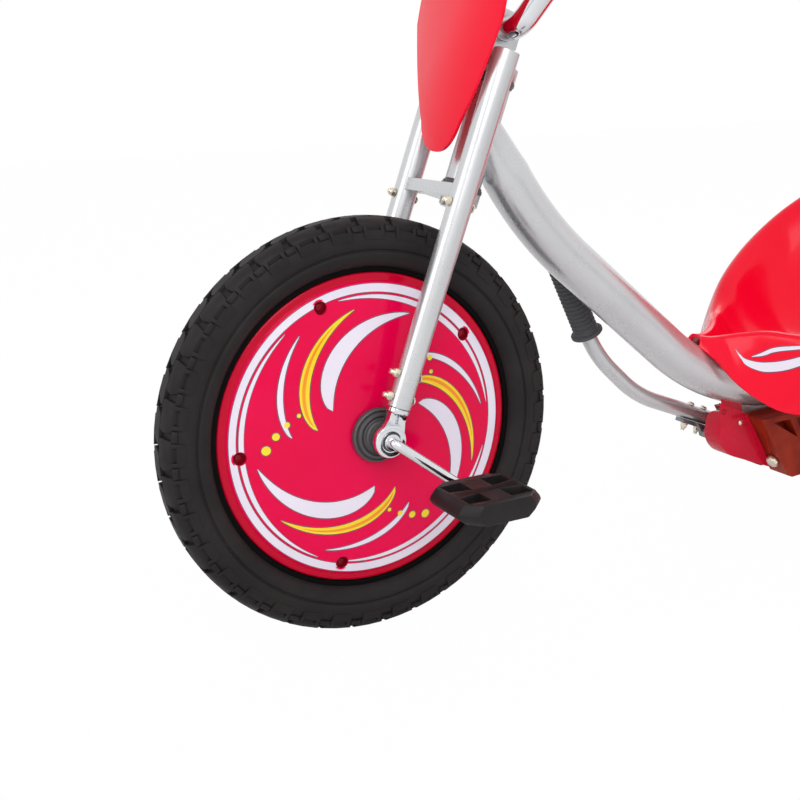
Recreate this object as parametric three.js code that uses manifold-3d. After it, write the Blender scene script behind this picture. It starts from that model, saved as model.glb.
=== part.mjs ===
// Drift trike: a big pedalled front wheel in a raked fork, one bent main tube,
// a bucket seat, a pull-up spark lever and two inclined swivel casters behind.
// Millimetres, +X forward, +Y to the rider's left, +Z up.
import * as THREE from 'three';
import * as BufferGeometryUtils from 'three/addons/utils/BufferGeometryUtils.js';
import Module from 'manifold-3d';

// Clearances and shared values
const gap = 0.3;
const overrun = 4;
const roundSides = 16;
const boreSides = 16;
const fineSides = 36;
const boltSides = 8;

// Front wheel
const rimSeatRadius = 154.5;
const tyreHeight = 48.5;
const tyreRadius = rimSeatRadius + tyreHeight;
const tyreWidth = 47;
const tyreWall = 5;
const rimFlange = 3.5;
const rimWidth = 27;
const rimWall = 2.5;
const rimWellDepth = 11;
const webThickness = 3;
const bossRadius = 7;
const coverInset = 2.5;
const coverRadius = rimSeatRadius - coverInset;
const coverWall = 1.6;
const coverEdgeOffset = 9.8;
const coverShoulder = 9.25;
const coverShoulderRadius = coverRadius - coverShoulder;
const coverShoulderOffset = 14.6;
const coverHubOffset = 30;
const coverHubHole = 24;
const recessInset = 10.75;
const recessCircleRadius = coverShoulderRadius - recessInset;
const recessCount = 5;
const recessRadius = 6.2;
const recessDepth = 5;
const recessTurn = 70;
const hubRadius = 16;
const hubFlangeRadius = 26.5;
const hubFlangeWidth = 8;
const hubNeckRadius = 13;

// Crank and pedals
const crankRodRadius = 5;
const crankReach = 75.4;
const crankDroop = 38.5;
const crankBend = 8;
const crankArmStart = 69;
const crankArmEnd = 80;
const pedalStart = 92;
const pedalLength = 87;
const pedalWidth = 76;
const pedalThickness = 20;
const pedalInset = 2.5;
const pedalChamfer = 20;
const pedalBarWidth = 9;
const pedalHubRadius = 9;
const pedalGapEnd = 3;

// Fork, crowns and steering axis
const forkLean = 21.2;
const legSpacing = 110;
const legFootRadius = 11;
const legTopRadius = 12.5;
const legWall = 1.6;
const legStart = 32;
const steerOffset = 28;
const crownThickness = 12;
const lowerCrownHeight = 238.5;
const upperCrownHeight = 362;
const legRise = 9;
const legEnd = upperCrownHeight + legRise;
const crownBarDepth = 14;
const crownTang = 5;
const crownNoseRadius = 20;
const crownWebWidth = 56;
const steererRadius = 12.5;
const steererHeadRadius = 17;
const steererHead = 6;
const locknutRadius = 16;
const locknutHeight = 9;
const headTubeRadius = 18;
const headTubeWall = 3;
const cupRadius = 20.5;
const cupHeight = 6.9;
const eyeRadius = 16;
const eyeWidth = 12;
const eyeBore = 8.8;
const shankDepth = 17;
const shankEnd = 74;
const bushLip = 1.2;
const boltRadius = 2.5;
const boltHeadRadius = 4.6;
const boltHeadHeight = 3;
const boltNutHeight = 5.5;
const boltTail = 3.5;
const footBoltHeights = [41, 63];
const crownBoltTail = 1.5;
const crownBoltDrop = 12;
const crownBoltHeight = lowerCrownHeight - crownBoltDrop;

// Handlebar
const barRadius = 11.1;
const barAboveCrown = 30;
const barHeight = upperCrownHeight + barAboveCrown;
const barFlat = 64;
const barRiseWidth = 168;
const barRise = 136;
const barHalfSpan = 316;
const barSweep = 52;
const barUpsweep = 10;
const barBend = 32;
const braceRadius = 8;
const braceAboveBar = 78;
const braceHeight = barHeight + braceAboveBar;
const riserSpacing = 64;
const riserWidth = 18;
const riserDepth = 40;
const riserCover = 6;
const riserBoltOffset = 15.6;
const gripRadius = 15.5;
const gripFlangeRadius = 20;
const gripFlange = 4;
const gripLength = 112;
const gripEnd = 4;
const plateThickness = 3;
const plateBelowBar = 121;
const plateTip = barHeight - plateBelowBar;
const plateHeight = 196;
const plateHalfWidth = 78;
const plateNarrowHalfWidth = 58;
const plateAhead = 9;
const plateLean = 8;
const plateTopCurve = 16;
const plateBossRadius = 9;

// Main tube and head tube
const mainTubeRadius = 24;
const mainTubeWall = 2.2;
const mainTubeKnee = [-189.6, 387.7];
const mainTubeLevel = 165;
const mainTubeLevelStart = -450.4;
const mainTubeEnd = -640;
const kneeBend = 380;
const floorBend = 285;
const tubePlugFlange = 3;
const tubePlugDepth = 14;
const headTubeStart = lowerCrownHeight + crownThickness / 2 + cupHeight + 2 * gap;
const headTubeEnd = upperCrownHeight - crownThickness / 2 - cupHeight - 2 * gap;
const mainTubeAboveMiddle = 10;
const mainTubeStart = (headTubeStart + headTubeEnd) / 2 + mainTubeAboveMiddle;

// Seat: guide lines as shares of its length, half width and rise
const seatFront = -388;
const seatLength = 390;
const seatHalfWidth = 170;
const seatRise = 320;
const seatFloorHeight = 197;
const seatRoll = 12;
const seatWall = 4;
const seatFloorShare = 0.1;
const seatCentreShares = [
  [0.072, 0, 0.228], [0.108, 0, 0.202], [0.149, 0, 0.174], [0.197, 0, 0.147],
  [0.246, 0, 0.13], [0.297, 0, 0.113], [0.351, 0, 0.103], [0.403, 0, seatFloorShare],
  [0.479, 0, seatFloorShare], [0.569, 0, seatFloorShare], [0.659, 0, 0.138], [0.744, 0, 0.234],
  [0.831, 0, 0.391], [0.908, 0, 0.641], [0.954, 0, 0.828], [0.99, 0, 0.972],
];
const seatRimShares = [
  [0.07, 0.035, 0.226], [0.108, 0.056, 0.224], [0.144, 0.09, 0.234], [0.187, 0.159, 0.25],
  [0.236, 0.271, 0.263], [0.287, 0.406, 0.256], [0.338, 0.529, 0.255], [0.39, 0.624, 0.287],
  [0.467, 0.735, 0.369], [0.569, 0.824, 0.453], [0.672, 0.871, 0.528], [0.774, 0.865, 0.603],
  [0.877, 0.776, 0.684], [0.949, 0.588, 0.797], [0.985, 0.353, 0.906], [0.995, 0.212, 0.953],
];
const seatLipShares = [
  [0.06, 0.053, 0.197], [0.088, 0.141, 0.156], [0.133, 0.212, 0.081], [0.185, 0.306, 0.019],
  [0.236, 0.424, -0.022], [0.287, 0.559, -0.028], [0.338, 0.671, -0.022], [0.39, 0.765, -0.003],
  [0.467, 0.841, 0.066], [0.569, 0.906, 0.147], [0.672, 0.941, 0.234], [0.774, 0.935, 0.322],
  [0.877, 0.859, 0.428], [0.959, 0.682, 0.584], [1.01, 0.459, 0.766], [1.031, 0.271, 0.884],
];
const seatBase = seatFloorHeight - seatFloorShare * seatRise;
const seatMountLength = 78;
const seatMountWidth = 50;
const seatMountCentre = -560;
const seatBoltSpacing = 50;
const seatBoltHeadRadius = 8;
const seatBoltRadius = 3;
const seatBoltDepth = 14;

// Rear bracket, spark lever and truck
const bracketHalfWidth = 14;
const bracketWall = 3;
const bracketNoseCentre = [-478, 124];
const bracketNoseRadius = 34;
const bracketNoseArc = [8, -68];
const bracketEar = [-443, 160];
const bracketFoot = [-524, 69];
const matingTop = [-478, 145];
const bracketFlange = 5;
const bracketFlangeLength = 84;
const saddleRise = 9;
const leverOffset = 45;
const leverRadius = 9;
const leverWall = 1.8;
const leverBend = 150;
const leverGripRadius = 14;
const leverGripFlangeRadius = 18;
const leverGripLength = 108;
const leverEnd = [-478, 123];
const leverHeel = [-367.8, 168.6];
const leverElbow = [-310.4, 223.3];
const leverTop = [-255.1, 343];
const leverBoltSpacing = 21;
const leverBoltInset = 13;
const leverBoltTail = 3;
const pivotPlace = [-464, 110];
const pivotRadius = 6;
const pivotEnd = 39;
const pivotRootThickness = 6;
const sparkArmThickness = 8;
const sparkArmWidth = 18;
const sparkArmKnee = [-505, 88];
const sparkArmRear = [-606, 78];
const sparkArmHeel = [-640, 42];
const sparkPadLength = 58;
const sparkPadWidth = 34;
const sparkPadHeight = 14;

// Truck: the moulded block behind the bracket, with a wing out to each caster
const truckHalfWidth = 40;
const truckTop = 140;
const truckFloor = 62;
const truckFootFront = -534;
const truckFrontLength = 94;
const truckShoulder = -596;
const truckTail = -662;
const truckTailTop = 112;
const wingTop = 110;
const wingFloor = 72;
const wingFront = -560;
const wingWall = 6;
const truckPocketDepth = 16;
const truckRib = 6;
const truckSlotTop = 100;
const truckSlotRoom = 2;
const truckSlotHalfWidth = sparkArmWidth / 2 + truckSlotRoom;
const truckBoltOffset = 28;
const truckBoltRadius = 4;
const truckBoltHeadRadius = 8;
const truckBoltHead = 6;
const truckBoltDepth = 22;
const truckBoltDrop = 72;

// Casters
const casterSpacing = 230;
const casterWheelRadius = 38;
const casterWheelWidth = 24;
const casterSideGap = 1;
const casterWheelPlace = -755;
const casterLean = 32;
const casterDrop = 75;
const casterTrail = 25;
const housingRadius = 23;
const housingLength = 40;
const casterStemRadius = 7;
const stemHeadRadius = 11;
const stemHead = 5;
const yokePlateRadius = 21;
const yokePlate = 6;
const yokeCheek = 4;
const yokeBossRadius = 10;
const casterHubRadius = 21;
const casterAxleRadius = 4;
const casterAxleHeadRadius = 7;
const casterAxleHead = 4;

// Colours and finishes as seen on the object
const finishes = {
  satinSilver: { color: 0xc4c6ca, roughness: 0.35, metalness: 0.85 },
  chrome: { color: 0xe4e6ea, roughness: 0.12, metalness: 1 },
  zinc: { color: 0xb9b29c, roughness: 0.35, metalness: 0.9 },
  blackRubber: { color: 0x2b2829, roughness: 0.85, metalness: 0 },
  blackPlastic: { color: 0x1d1c1d, roughness: 0.45, metalness: 0 },
  coverRed: { color: 0xe40b45, roughness: 0.25, metalness: 0 },
  seatRed: { color: 0xf2062f, roughness: 0.22, metalness: 0 },
  bracketRed: { color: 0xc42a40, roughness: 0.4, metalness: 0.1 },
  truckRed: { color: 0xb53c25, roughness: 0.45, metalness: 0 },
  sparkGrey: { color: 0x8d8f92, roughness: 0.55, metalness: 0.8 },
};

// Solids
const wasm = await Module();
wasm.setup();

function toSolid(geometry) {
  const bare = geometry.clone();
  bare.deleteAttribute('normal');
  bare.deleteAttribute('uv');
  const merged = BufferGeometryUtils.mergeVertices(bare, 1e-4);
  const vertProperties = new Float32Array(merged.attributes.position.array);
  const triVerts = new Uint32Array(merged.index.array);
  return new wasm.Manifold(new wasm.Mesh({ numProp: 3, vertProperties, triVerts }));
}

function toGeometry(body) {
  const mesh = body.getMesh();
  const geometry = new THREE.BufferGeometry();
  geometry.setAttribute('position', new THREE.BufferAttribute(mesh.vertProperties, 3));
  geometry.setIndex(new THREE.BufferAttribute(mesh.triVerts, 1));
  return geometry;
}

function join(base, ...others) {
  let body = toSolid(base);
  for (const other of others) {
    body = body.add(toSolid(other));
  }
  return toGeometry(body);
}

function cut(base, ...tools) {
  let body = toSolid(base);
  for (const tool of tools) {
    body = body.subtract(toSolid(tool));
  }
  return toGeometry(body);
}

// Shapes
const radians = THREE.MathUtils.degToRad;

function turnedRing(points, sides = roundSides) {
  const outline = points.map(([radius, along]) => new THREE.Vector2(radius, along));
  outline.push(outline[0].clone());
  return new THREE.LatheGeometry(outline, sides);
}

function turned(points, sides = roundSides) {
  const outline = points.map(([radius, along]) => new THREE.Vector2(radius, along));
  return new THREE.LatheGeometry(outline, sides);
}

// A round bar on the Y axis from one end to the other
function barY(radius, from, to, sides = roundSides) {
  const bar = new THREE.CylinderGeometry(radius, radius, to - from, sides);
  return bar.translate(0, (from + to) / 2, 0);
}

// The same bar on the Z axis and on the X axis
function barZ(radius, from, to, sides = roundSides) {
  return barY(radius, from, to, sides).rotateX(Math.PI / 2);
}

function barX(radius, from, to, sides = roundSides) {
  return barY(radius, from, to, sides).rotateZ(-Math.PI / 2);
}

function tubeZ(outer, inner, from, to, sides = roundSides) {
  const points = [[inner, from], [outer, from], [outer, to], [inner, to]];
  return turnedRing(points, sides).rotateX(Math.PI / 2);
}

function block(low, high) {
  const size = high.map((value, axis) => value - low[axis]);
  const middle = high.map((value, axis) => (value + low[axis]) / 2);
  return new THREE.BoxGeometry(...size).translate(...middle);
}

// A side outline given as x, z pairs, made as thick as its two y values say
function sidePlate(outline, from, to) {
  const shape = new THREE.Shape(outline.map(([x, z]) => new THREE.Vector2(x, z)));
  const options = { depth: to - from, bevelEnabled: false, steps: 1 };
  const plate = new THREE.ExtrudeGeometry(shape, options);
  return plate.rotateX(Math.PI / 2).translate(0, to, 0);
}

// A flat outline given as x, y pairs, made as thick as its two z values say
function flatPlate(outline, from, to) {
  const shape = new THREE.Shape(outline.map(([x, y]) => new THREE.Vector2(x, y)));
  const options = { depth: to - from, bevelEnabled: false, steps: 1 };
  return new THREE.ExtrudeGeometry(shape, options).translate(0, 0, from);
}

function arcPoints(centre, radius, fromDegrees, toDegrees, steps) {
  const points = [];
  for (let i = 0; i <= steps; i += 1) {
    const angle = radians(fromDegrees + ((toDegrees - fromDegrees) * i) / steps);
    points.push([centre[0] + radius * Math.cos(angle), centre[1] + radius * Math.sin(angle)]);
  }
  return points;
}

// The centre line of a bent rod: straight runs with round bends at its corners
class RodLine extends THREE.Curve {
  constructor(corners, bend, bendSteps = 6) {
    super();
    this.stations = [];
    const last = corners.length - 1;
    corners.forEach((corner, i) => {
      if (i === 0 || i === last) {
        const other = corners[i === 0 ? 1 : last - 1];
        const along = other.clone().sub(corner).normalize().multiplyScalar(i === 0 ? 1 : -1);
        this.stations.push({ place: corner.clone(), along });
        return;
      }
      this.addBend(corners[i - 1], corner, corners[i + 1], bend, bendSteps);
    });
  }

  addBend(before, corner, after, bend, bendSteps) {
    const radius = Array.isArray(bend) ? bend.shift() : bend;
    const inward = corner.clone().sub(before).normalize();
    const outward = after.clone().sub(corner).normalize();
    const turn = inward.angleTo(outward);
    const reach = radius * Math.tan(turn / 2);
    const start = corner.clone().addScaledVector(inward, -reach);
    const side = outward.clone().addScaledVector(inward, -Math.cos(turn)).normalize();
    for (let i = 0; i <= bendSteps; i += 1) {
      const angle = (turn * i) / bendSteps;
      const place = start.clone().addScaledVector(inward, radius * Math.sin(angle));
      place.addScaledVector(side, radius * (1 - Math.cos(angle)));
      const along = inward.clone().multiplyScalar(Math.cos(angle));
      along.addScaledVector(side, Math.sin(angle));
      this.stations.push({ place, along });
    }
  }

  get runs() {
    return this.stations.length - 1;
  }

  getPointAt(share) {
    return this.stations[Math.round(share * this.runs)].place.clone();
  }

  getTangentAt(share) {
    return this.stations[Math.round(share * this.runs)].along.clone();
  }

  getSpacedPoints() {
    return this.stations.map((station) => station.place.clone());
  }
}

function circleShape(radius, sides, bore = 0) {
  const ring = (r) => {
    const points = [];
    for (let i = 0; i < sides; i += 1) {
      const angle = (2 * Math.PI * i) / sides;
      points.push(new THREE.Vector2(r * Math.cos(angle), r * Math.sin(angle)));
    }
    return points;
  };
  const shape = new THREE.Shape(ring(radius));
  if (bore > 0) {
    shape.holes.push(new THREE.Path(ring(bore)));
  }
  return shape;
}

function rod(line, radius, sides = roundSides, bore = 0) {
  const shape = circleShape(radius, sides, bore);
  return new THREE.ExtrudeGeometry(shape, { steps: line.runs, extrudePath: line });
}

function sidePoint([x, z], y = 0) {
  return new THREE.Vector3(x, y, z);
}

function named(name, geometry, finish) {
  const mesh = new THREE.Mesh(geometry, new THREE.MeshStandardMaterial(finishes[finish]));
  mesh.name = name;
  return mesh;
}

// Both sides of the trike: the name of a side and the sign of its y
const sides = [['left', 1], ['right', -1]];

// Turns a closed surface the right way out where its outline ran the other way
function facingOut(geometry) {
  const place = geometry.attributes.position;
  const index = geometry.index.array;
  const corner = [new THREE.Vector3(), new THREE.Vector3(), new THREE.Vector3()];
  let volume = 0;
  for (let i = 0; i < index.length; i += 3) {
    corner.forEach((point, k) => point.fromBufferAttribute(place, index[i + k]));
    volume += corner[0].dot(corner[1].clone().cross(corner[2]));
  }
  if (volume < 0) {
    for (let i = 0; i < index.length; i += 3) {
      [index[i], index[i + 1]] = [index[i + 1], index[i]];
    }
  }
  return geometry;
}

// Front wheel, turning on the Y axis through its own centre
function frontTyre() {
  const seat = rimSeatRadius + gap;
  const bead = rimWidth / 2 - rimWall - gap;
  const flangeTop = rimSeatRadius + rimFlange + gap;
  const half = tyreWidth / 2;
  const wallShares = [[0.08, 0.72], [0.34, 0.94], [0.66, 1], [0.86, 0.84]];
  const outer = wallShares.map(([up, out]) => [flangeTop + (tyreRadius - flangeTop) * up, half * out]);
  const right = [[seat, bead - tyreWall], [seat, bead], [flangeTop, bead], ...outer, [tyreRadius, half * 0.45]];
  const left = right.map(([radius, along]) => [radius, -along]).reverse();
  const hollow = [
    [flangeTop, bead - tyreWall], [(flangeTop + tyreRadius) / 2, half - tyreWall], [tyreRadius - tyreWall, half * 0.4],
  ];
  const hollowLeft = hollow.map(([radius, along]) => [radius, -along]);
  const outline = [...right, ...left, ...hollowLeft, ...[...hollow].reverse()];
  return facingOut(turnedRing(outline, fineSides));
}

function frontRim() {
  const flange = rimSeatRadius + rimFlange;
  const well = rimSeatRadius - rimWellDepth;
  const half = rimWidth / 2;
  const lip = coverRadius + gap;
  const step = coverEdgeOffset - coverWall - gap;
  const floor = well - rimWall;
  const web = webThickness / 2;
  const right = [
    [well, step - 2 * rimWall], [rimSeatRadius, step - rimWall], [rimSeatRadius, half - rimWall],
    [flange, half - rimWall], [flange, half], [lip, half], [lip, step], [floor, step - rimWall],
    [floor, web], [hubRadius + gap, web],
  ];
  const left = right.map(([radius, along]) => [radius, -along]).reverse();
  const rim = facingOut(turnedRing([...right, ...left], fineSides));
  const bossEnd = recessFloor() - gap;
  const bosses = recessPlaces().map(([x, z]) => barY(bossRadius, -bossEnd, bossEnd, 8).translate(x, 0, z));
  return join(rim, ...bosses);
}

// How far the outer face of a wheel cover stands from the middle plane
function coverOffset(radius) {
  const share = 1 - (radius / coverShoulderRadius) ** 2;
  return coverShoulderOffset + (coverHubOffset - coverShoulderOffset) * share;
}

// The inner end of a screw recess in the cover
function recessFloor() {
  return coverOffset(recessCircleRadius) - recessDepth - coverWall;
}

function recessPlaces() {
  const places = [];
  for (let i = 0; i < recessCount; i += 1) {
    const angle = radians(recessTurn + (360 * i) / recessCount);
    places.push([recessCircleRadius * Math.cos(angle), recessCircleRadius * Math.sin(angle)]);
  }
  return places;
}

function wheelCover() {
  const outer = [[coverRadius, coverEdgeOffset]];
  outer.push([(coverRadius + coverShoulderRadius) / 2, (coverEdgeOffset + coverShoulderOffset) / 2 + coverWall / 2]);
  const rings = 3;
  for (let i = 0; i <= rings; i += 1) {
    const radius = coverShoulderRadius + ((coverHubHole - coverShoulderRadius) * i) / rings;
    outer.push([radius, coverOffset(radius)]);
  }
  const inner = outer.map(([radius, along]) => [radius, along - coverWall]).reverse();
  const shell = facingOut(turnedRing([...outer, ...inner], fineSides));
  const floor = recessFloor();
  const top = coverOffset(recessCircleRadius);
  const atRecesses = (radius, from, to) => recessPlaces().map(([x, z]) => barY(radius, from, to, 8).translate(x, 0, z));
  const cups = atRecesses(recessRadius + coverWall, floor, top - coverWall);
  const wells = atRecesses(recessRadius, floor + coverWall, top + overrun);
  return cut(join(shell, ...cups), ...wells);
}

function frontHub() {
  const flangeIn = coverHubOffset + gap;
  const flangeOut = flangeIn + hubFlangeWidth;
  const end = legSpacing / 2 - eyeWidth / 2 - bushLip - 2 * gap;
  const chamfer = hubFlangeWidth / 4;
  const bore = crankRodRadius + gap;
  const right = [
    [hubRadius, flangeIn], [hubFlangeRadius, flangeIn], [hubFlangeRadius, flangeOut - chamfer],
    [hubFlangeRadius - chamfer, flangeOut], [hubNeckRadius + chamfer, flangeOut], [hubNeckRadius, flangeOut + chamfer],
    [hubNeckRadius, end], [bore, end],
  ];
  const left = right.map(([radius, along]) => [radius, -along]).reverse();
  return facingOut(turnedRing([...right, ...left], 20));
}

// The crank is one bent rod: pedal pin, arm, axle, arm, pedal pin
function crankPin(sign) {
  const angle = radians(crankDroop);
  const x = -crankReach * Math.cos(angle) * sign;
  const z = -crankReach * Math.sin(angle) * sign;
  return [x, z];
}

function crank() {
  const end = pedalStart + pedalWidth - pedalBarWidth - pedalGapEnd;
  const corners = [];
  for (const sign of [-1, 1]) {
    const [x, z] = crankPin(sign);
    const side = [
      new THREE.Vector3(x, sign * end, z), new THREE.Vector3(x, sign * crankArmEnd, z),
      new THREE.Vector3(0, sign * crankArmStart, 0),
    ];
    corners.push(...(sign < 0 ? side : side.reverse()));
  }
  return rod(new RodLine(corners, crankBend, 3), crankRodRadius, 12);
}

// A pedal block with a chamfered outline and six windows, round its own pin
function pedal() {
  const half = pedalLength / 2;
  const tall = pedalThickness / 2;
  const outline = [
    [-half, 0], [-half + pedalInset, tall * 0.55], [-half + pedalChamfer / 2, tall], [half - pedalChamfer / 2, tall],
    [half - pedalInset, tall * 0.55], [half, 0], [half - pedalInset, -tall * 0.55],
    [half - pedalChamfer / 2, -tall], [-half + pedalChamfer / 2, -tall], [-half + pedalInset, -tall * 0.55],
  ];
  const body = sidePlate(outline, 0, pedalWidth);
  const wall = pedalBarWidth;
  const bay = (pedalWidth - 4 * wall) / 3;
  const windows = [];
  for (let i = 0; i < 3; i += 1) {
    const from = wall + i * (bay + wall);
    for (const sign of [-1, 1]) {
      const near = sign * (pedalHubRadius + gap);
      const far = sign * (half - pedalChamfer / 2);
      const low = [Math.min(near, far), from, -tall - overrun];
      windows.push(block(low, [Math.max(near, far), from + bay, tall + overrun]));
    }
  }
  const bore = barY(crankRodRadius + gap, -overrun, pedalWidth - pedalBarWidth, 20);
  return cut(body, ...windows, bore);
}

function frontWheel() {
  const wheel = new THREE.Group();
  wheel.position.z = tyreRadius;
  wheel.add(named('front_tyre', frontTyre(), 'blackRubber'));
  wheel.add(named('front_rim', frontRim(), 'blackPlastic'));
  wheel.add(named('front_hub', frontHub(), 'blackPlastic'));
  wheel.add(named('crank', crank(), 'chrome'));
  for (const [side, sign] of sides) {
    const cover = named(`wheel_cover_${side}`, wheelCover(), 'coverRed');
    cover.rotation.z = sign > 0 ? 0 : Math.PI;
    wheel.add(cover);
    const tread = named(`pedal_${side}`, pedal(), 'blackPlastic');
    tread.rotation.z = sign > 0 ? 0 : Math.PI;
    const [x, z] = crankPin(sign);
    tread.position.set(x, sign * pedalStart, z);
    wheel.add(tread);
  }
  return wheel;
}

// Fork, crowns, handlebar: drawn upright on the axle, then leaned back as one group.
// The legs run up Z at y = half the leg spacing; the steering axis is steerOffset behind them.
function legRadiusAt(height) {
  return legFootRadius + ((legTopRadius - legFootRadius) * (height - legStart)) / (legEnd - legStart);
}

function forkLeg() {
  const outline = [
    [legFootRadius - legWall, legStart], [legFootRadius, legStart],
    [legTopRadius, legEnd], [legTopRadius - legWall, legEnd],
  ];
  const leg = facingOut(turnedRing(outline)).rotateX(Math.PI / 2);
  const tools = footBoltHeights.map((height) => crossBore(height));
  for (const height of [lowerCrownHeight, upperCrownHeight]) {
    const half = { x: crownBarDepth / 2 + gap, z: crownThickness / 2 + gap };
    tools.push(block([-half.x, -legTopRadius - overrun, height - half.z], [half.x, 0, height + half.z]));
  }
  tools.push(crossBore(crownBoltHeight));
  return cut(leg, ...tools);
}

// A bore that runs fore and aft through a leg
function crossBore(height) {
  const reach = legTopRadius + overrun;
  return barX(boltRadius + gap, -reach, reach, boltSides).translate(0, 0, height);
}

function dropout() {
  const half = eyeWidth / 2;
  const shankRadius = legFootRadius - legWall - gap;
  const eye = barY(eyeRadius, -half, half, 20);
  const neck = block([-shankDepth / 2, -half * 0.7, eyeBore], [shankDepth / 2, half * 0.7, legStart - gap]);
  const collar = barZ(legFootRadius, legStart - legWall * 2, legStart - gap);
  const shank = barZ(shankRadius, legStart - legWall, shankEnd);
  const bore = barY(eyeBore, -half - overrun, half + overrun, boreSides);
  const tools = footBoltHeights.map((height) => crossBore(height));
  const slotHalf = shankDepth / 6;
  const slotTop = legStart - legWall * 2;
  const slot = block([-slotHalf, half * 0.35, eyeRadius], [slotHalf, half + overrun, slotTop]);
  return cut(join(eye, neck, collar, shank), bore, slot, ...tools);
}

function dropoutBush() {
  const inner = crankRodRadius + gap;
  const outer = eyeBore - gap;
  const half = eyeWidth / 2;
  const lip = half + gap;
  const outline = [
    [inner, -lip - bushLip], [outer + bushLip, -lip - bushLip], [outer + bushLip, -lip],
    [outer, -lip], [outer, half], [inner, half],
  ];
  return facingOut(turnedRing(outline, boreSides));
}

// A bolt that runs fore and aft: head behind, nut and bare end in front
function foreAftBolt(cover, tail) {
  const face = cover + gap;
  const shaftEnd = face + boltNutHeight + tail;
  const outline = [
    [0, -face - boltHeadHeight], [boltHeadRadius * 0.8, -face - boltHeadHeight], [boltHeadRadius, -face],
    [boltRadius, -face], [boltRadius, face], [boltHeadRadius, face], [boltHeadRadius, face + boltNutHeight],
    [boltRadius, face + boltNutHeight], [boltRadius, shaftEnd], [0, shaftEnd],
  ];
  return facingOut(turned(outline, boltSides)).rotateZ(-Math.PI / 2);
}

// A crown plate: a tang in each leg, a web and a round nose on the steering axis
function crown(height) {
  const front = crownBarDepth / 2;
  const reach = legSpacing / 2 + crownTang;
  const web = crownWebWidth / 2;
  const nose = arcPoints([-steerOffset, 0], crownNoseRadius, 110, 250, 8);
  const outline = [
    [front, -reach], [front, reach], [-front, reach], [-front, web], ...nose, [-front, -web], [-front, -reach],
  ];
  const half = crownThickness / 2;
  const plate = flatPlate(outline, height - half, height + half);
  const axisBore = barZ(steererRadius + gap, height - half - overrun, height + half + overrun, 24);
  axisBore.translate(-steerOffset, 0, 0);
  return cut(plate, axisBore);
}

function steerer() {
  const foot = lowerCrownHeight - crownThickness / 2 - gap;
  const top = upperCrownHeight + crownThickness / 2 + gap + locknutHeight + boltTail;
  const outline = [
    [0, foot - steererHead], [steererHeadRadius * 0.9, foot - steererHead], [steererHeadRadius, foot - steererHead / 2],
    [steererHeadRadius, foot], [steererRadius, foot], [steererRadius, top], [0, top],
  ];
  return facingOut(turned(outline, 24)).rotateX(Math.PI / 2).translate(-steerOffset, 0, 0);
}

function locknut() {
  const from = upperCrownHeight + crownThickness / 2 + gap;
  return tubeZ(locknutRadius, steererRadius + gap, from, from + locknutHeight, 24).translate(-steerOffset, 0, 0);
}

function headsetCup(from, to) {
  return tubeZ(cupRadius, steererRadius + gap, from, to, 24).translate(-steerOffset, 0, 0);
}

function headTube() {
  const bore = headTubeRadius - headTubeWall;
  return tubeZ(headTubeRadius, bore, headTubeStart, headTubeEnd, 24).translate(-steerOffset, 0, 0);
}

// Handlebar: flat middle, two risers that spread, and swept ends
function barLine() {
  const rise = barHeight + barRise;
  const corners = [];
  for (const sign of [-1, 1]) {
    const side = [
      new THREE.Vector3(-barSweep, sign * barHalfSpan, rise + barUpsweep),
      new THREE.Vector3(0, sign * barRiseWidth, rise),
      new THREE.Vector3(0, sign * barFlat, barHeight),
    ];
    corners.push(...(sign < 0 ? side : side.reverse()));
  }
  return new RodLine(corners, barBend, 4);
}

function brace() {
  const share = (braceHeight - barHeight) / barRise;
  const reach = barFlat + (barRiseWidth - barFlat) * share;
  const bar = barY(braceRadius, -reach, reach, 12).translate(0, 0, braceHeight);
  return cut(bar, rod(barLine(), barRadius + gap, 12));
}

// A riser block under the bar with a pinch slot at its front
function riser() {
  const from = upperCrownHeight + crownThickness / 2 + gap;
  const half = riserWidth / 2;
  const top = barHeight + barRadius + riserCover;
  const body = block([-barRadius - riserCover, -half, from], [riserDepth / 2, half, top]);
  const clamp = barY(barRadius + gap, -half - overrun, half + overrun, boreSides).translate(0, 0, barHeight);
  const slot = block([0, -half - overrun, barHeight - 1.5 * gap], [riserDepth, half + overrun, barHeight + 1.5 * gap]);
  const bolt = barZ(boltRadius + gap, from + riserCover, top + overrun, boltSides).translate(riserBoltOffset, 0, 0);
  return cut(body, clamp, slot, bolt);
}

function riserBolt() {
  const top = barHeight + barRadius + riserCover + gap;
  const foot = upperCrownHeight + crownThickness / 2 + riserCover + 2 * gap;
  const outline = [
    [0, foot], [boltRadius, foot], [boltRadius, top], [boltHeadRadius, top],
    [boltHeadRadius, top + boltHeadHeight / 2], [boltHeadRadius * 0.8, top + boltHeadHeight], [0, top + boltHeadHeight],
  ];
  return facingOut(turned(outline, boltSides)).rotateX(Math.PI / 2).translate(riserBoltOffset, 0, 0);
}

// A grip drawn along +Y from its flange to its closed end
function grip(radius, flangeRadius, length, bore) {
  const outline = [
    [bore, 0], [flangeRadius, 0], [flangeRadius, gripFlange], [radius, gripFlange * 1.6],
    [radius, length - gripEnd / 2], [radius - gripEnd / 2, length], [0, length], [0, length - gripEnd],
    [bore, length - gripEnd],
  ];
  return facingOut(turned([...outline, outline[0]], boreSides));
}

function placedGrip(name, geometry, end, back, length) {
  const mesh = named(name, geometry, 'blackRubber');
  const along = end.clone().sub(back).normalize();
  mesh.quaternion.setFromUnitVectors(new THREE.Vector3(0, 1, 0), along);
  mesh.position.copy(end).addScaledVector(along, -length + gripEnd + gap);
  return mesh;
}

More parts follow.
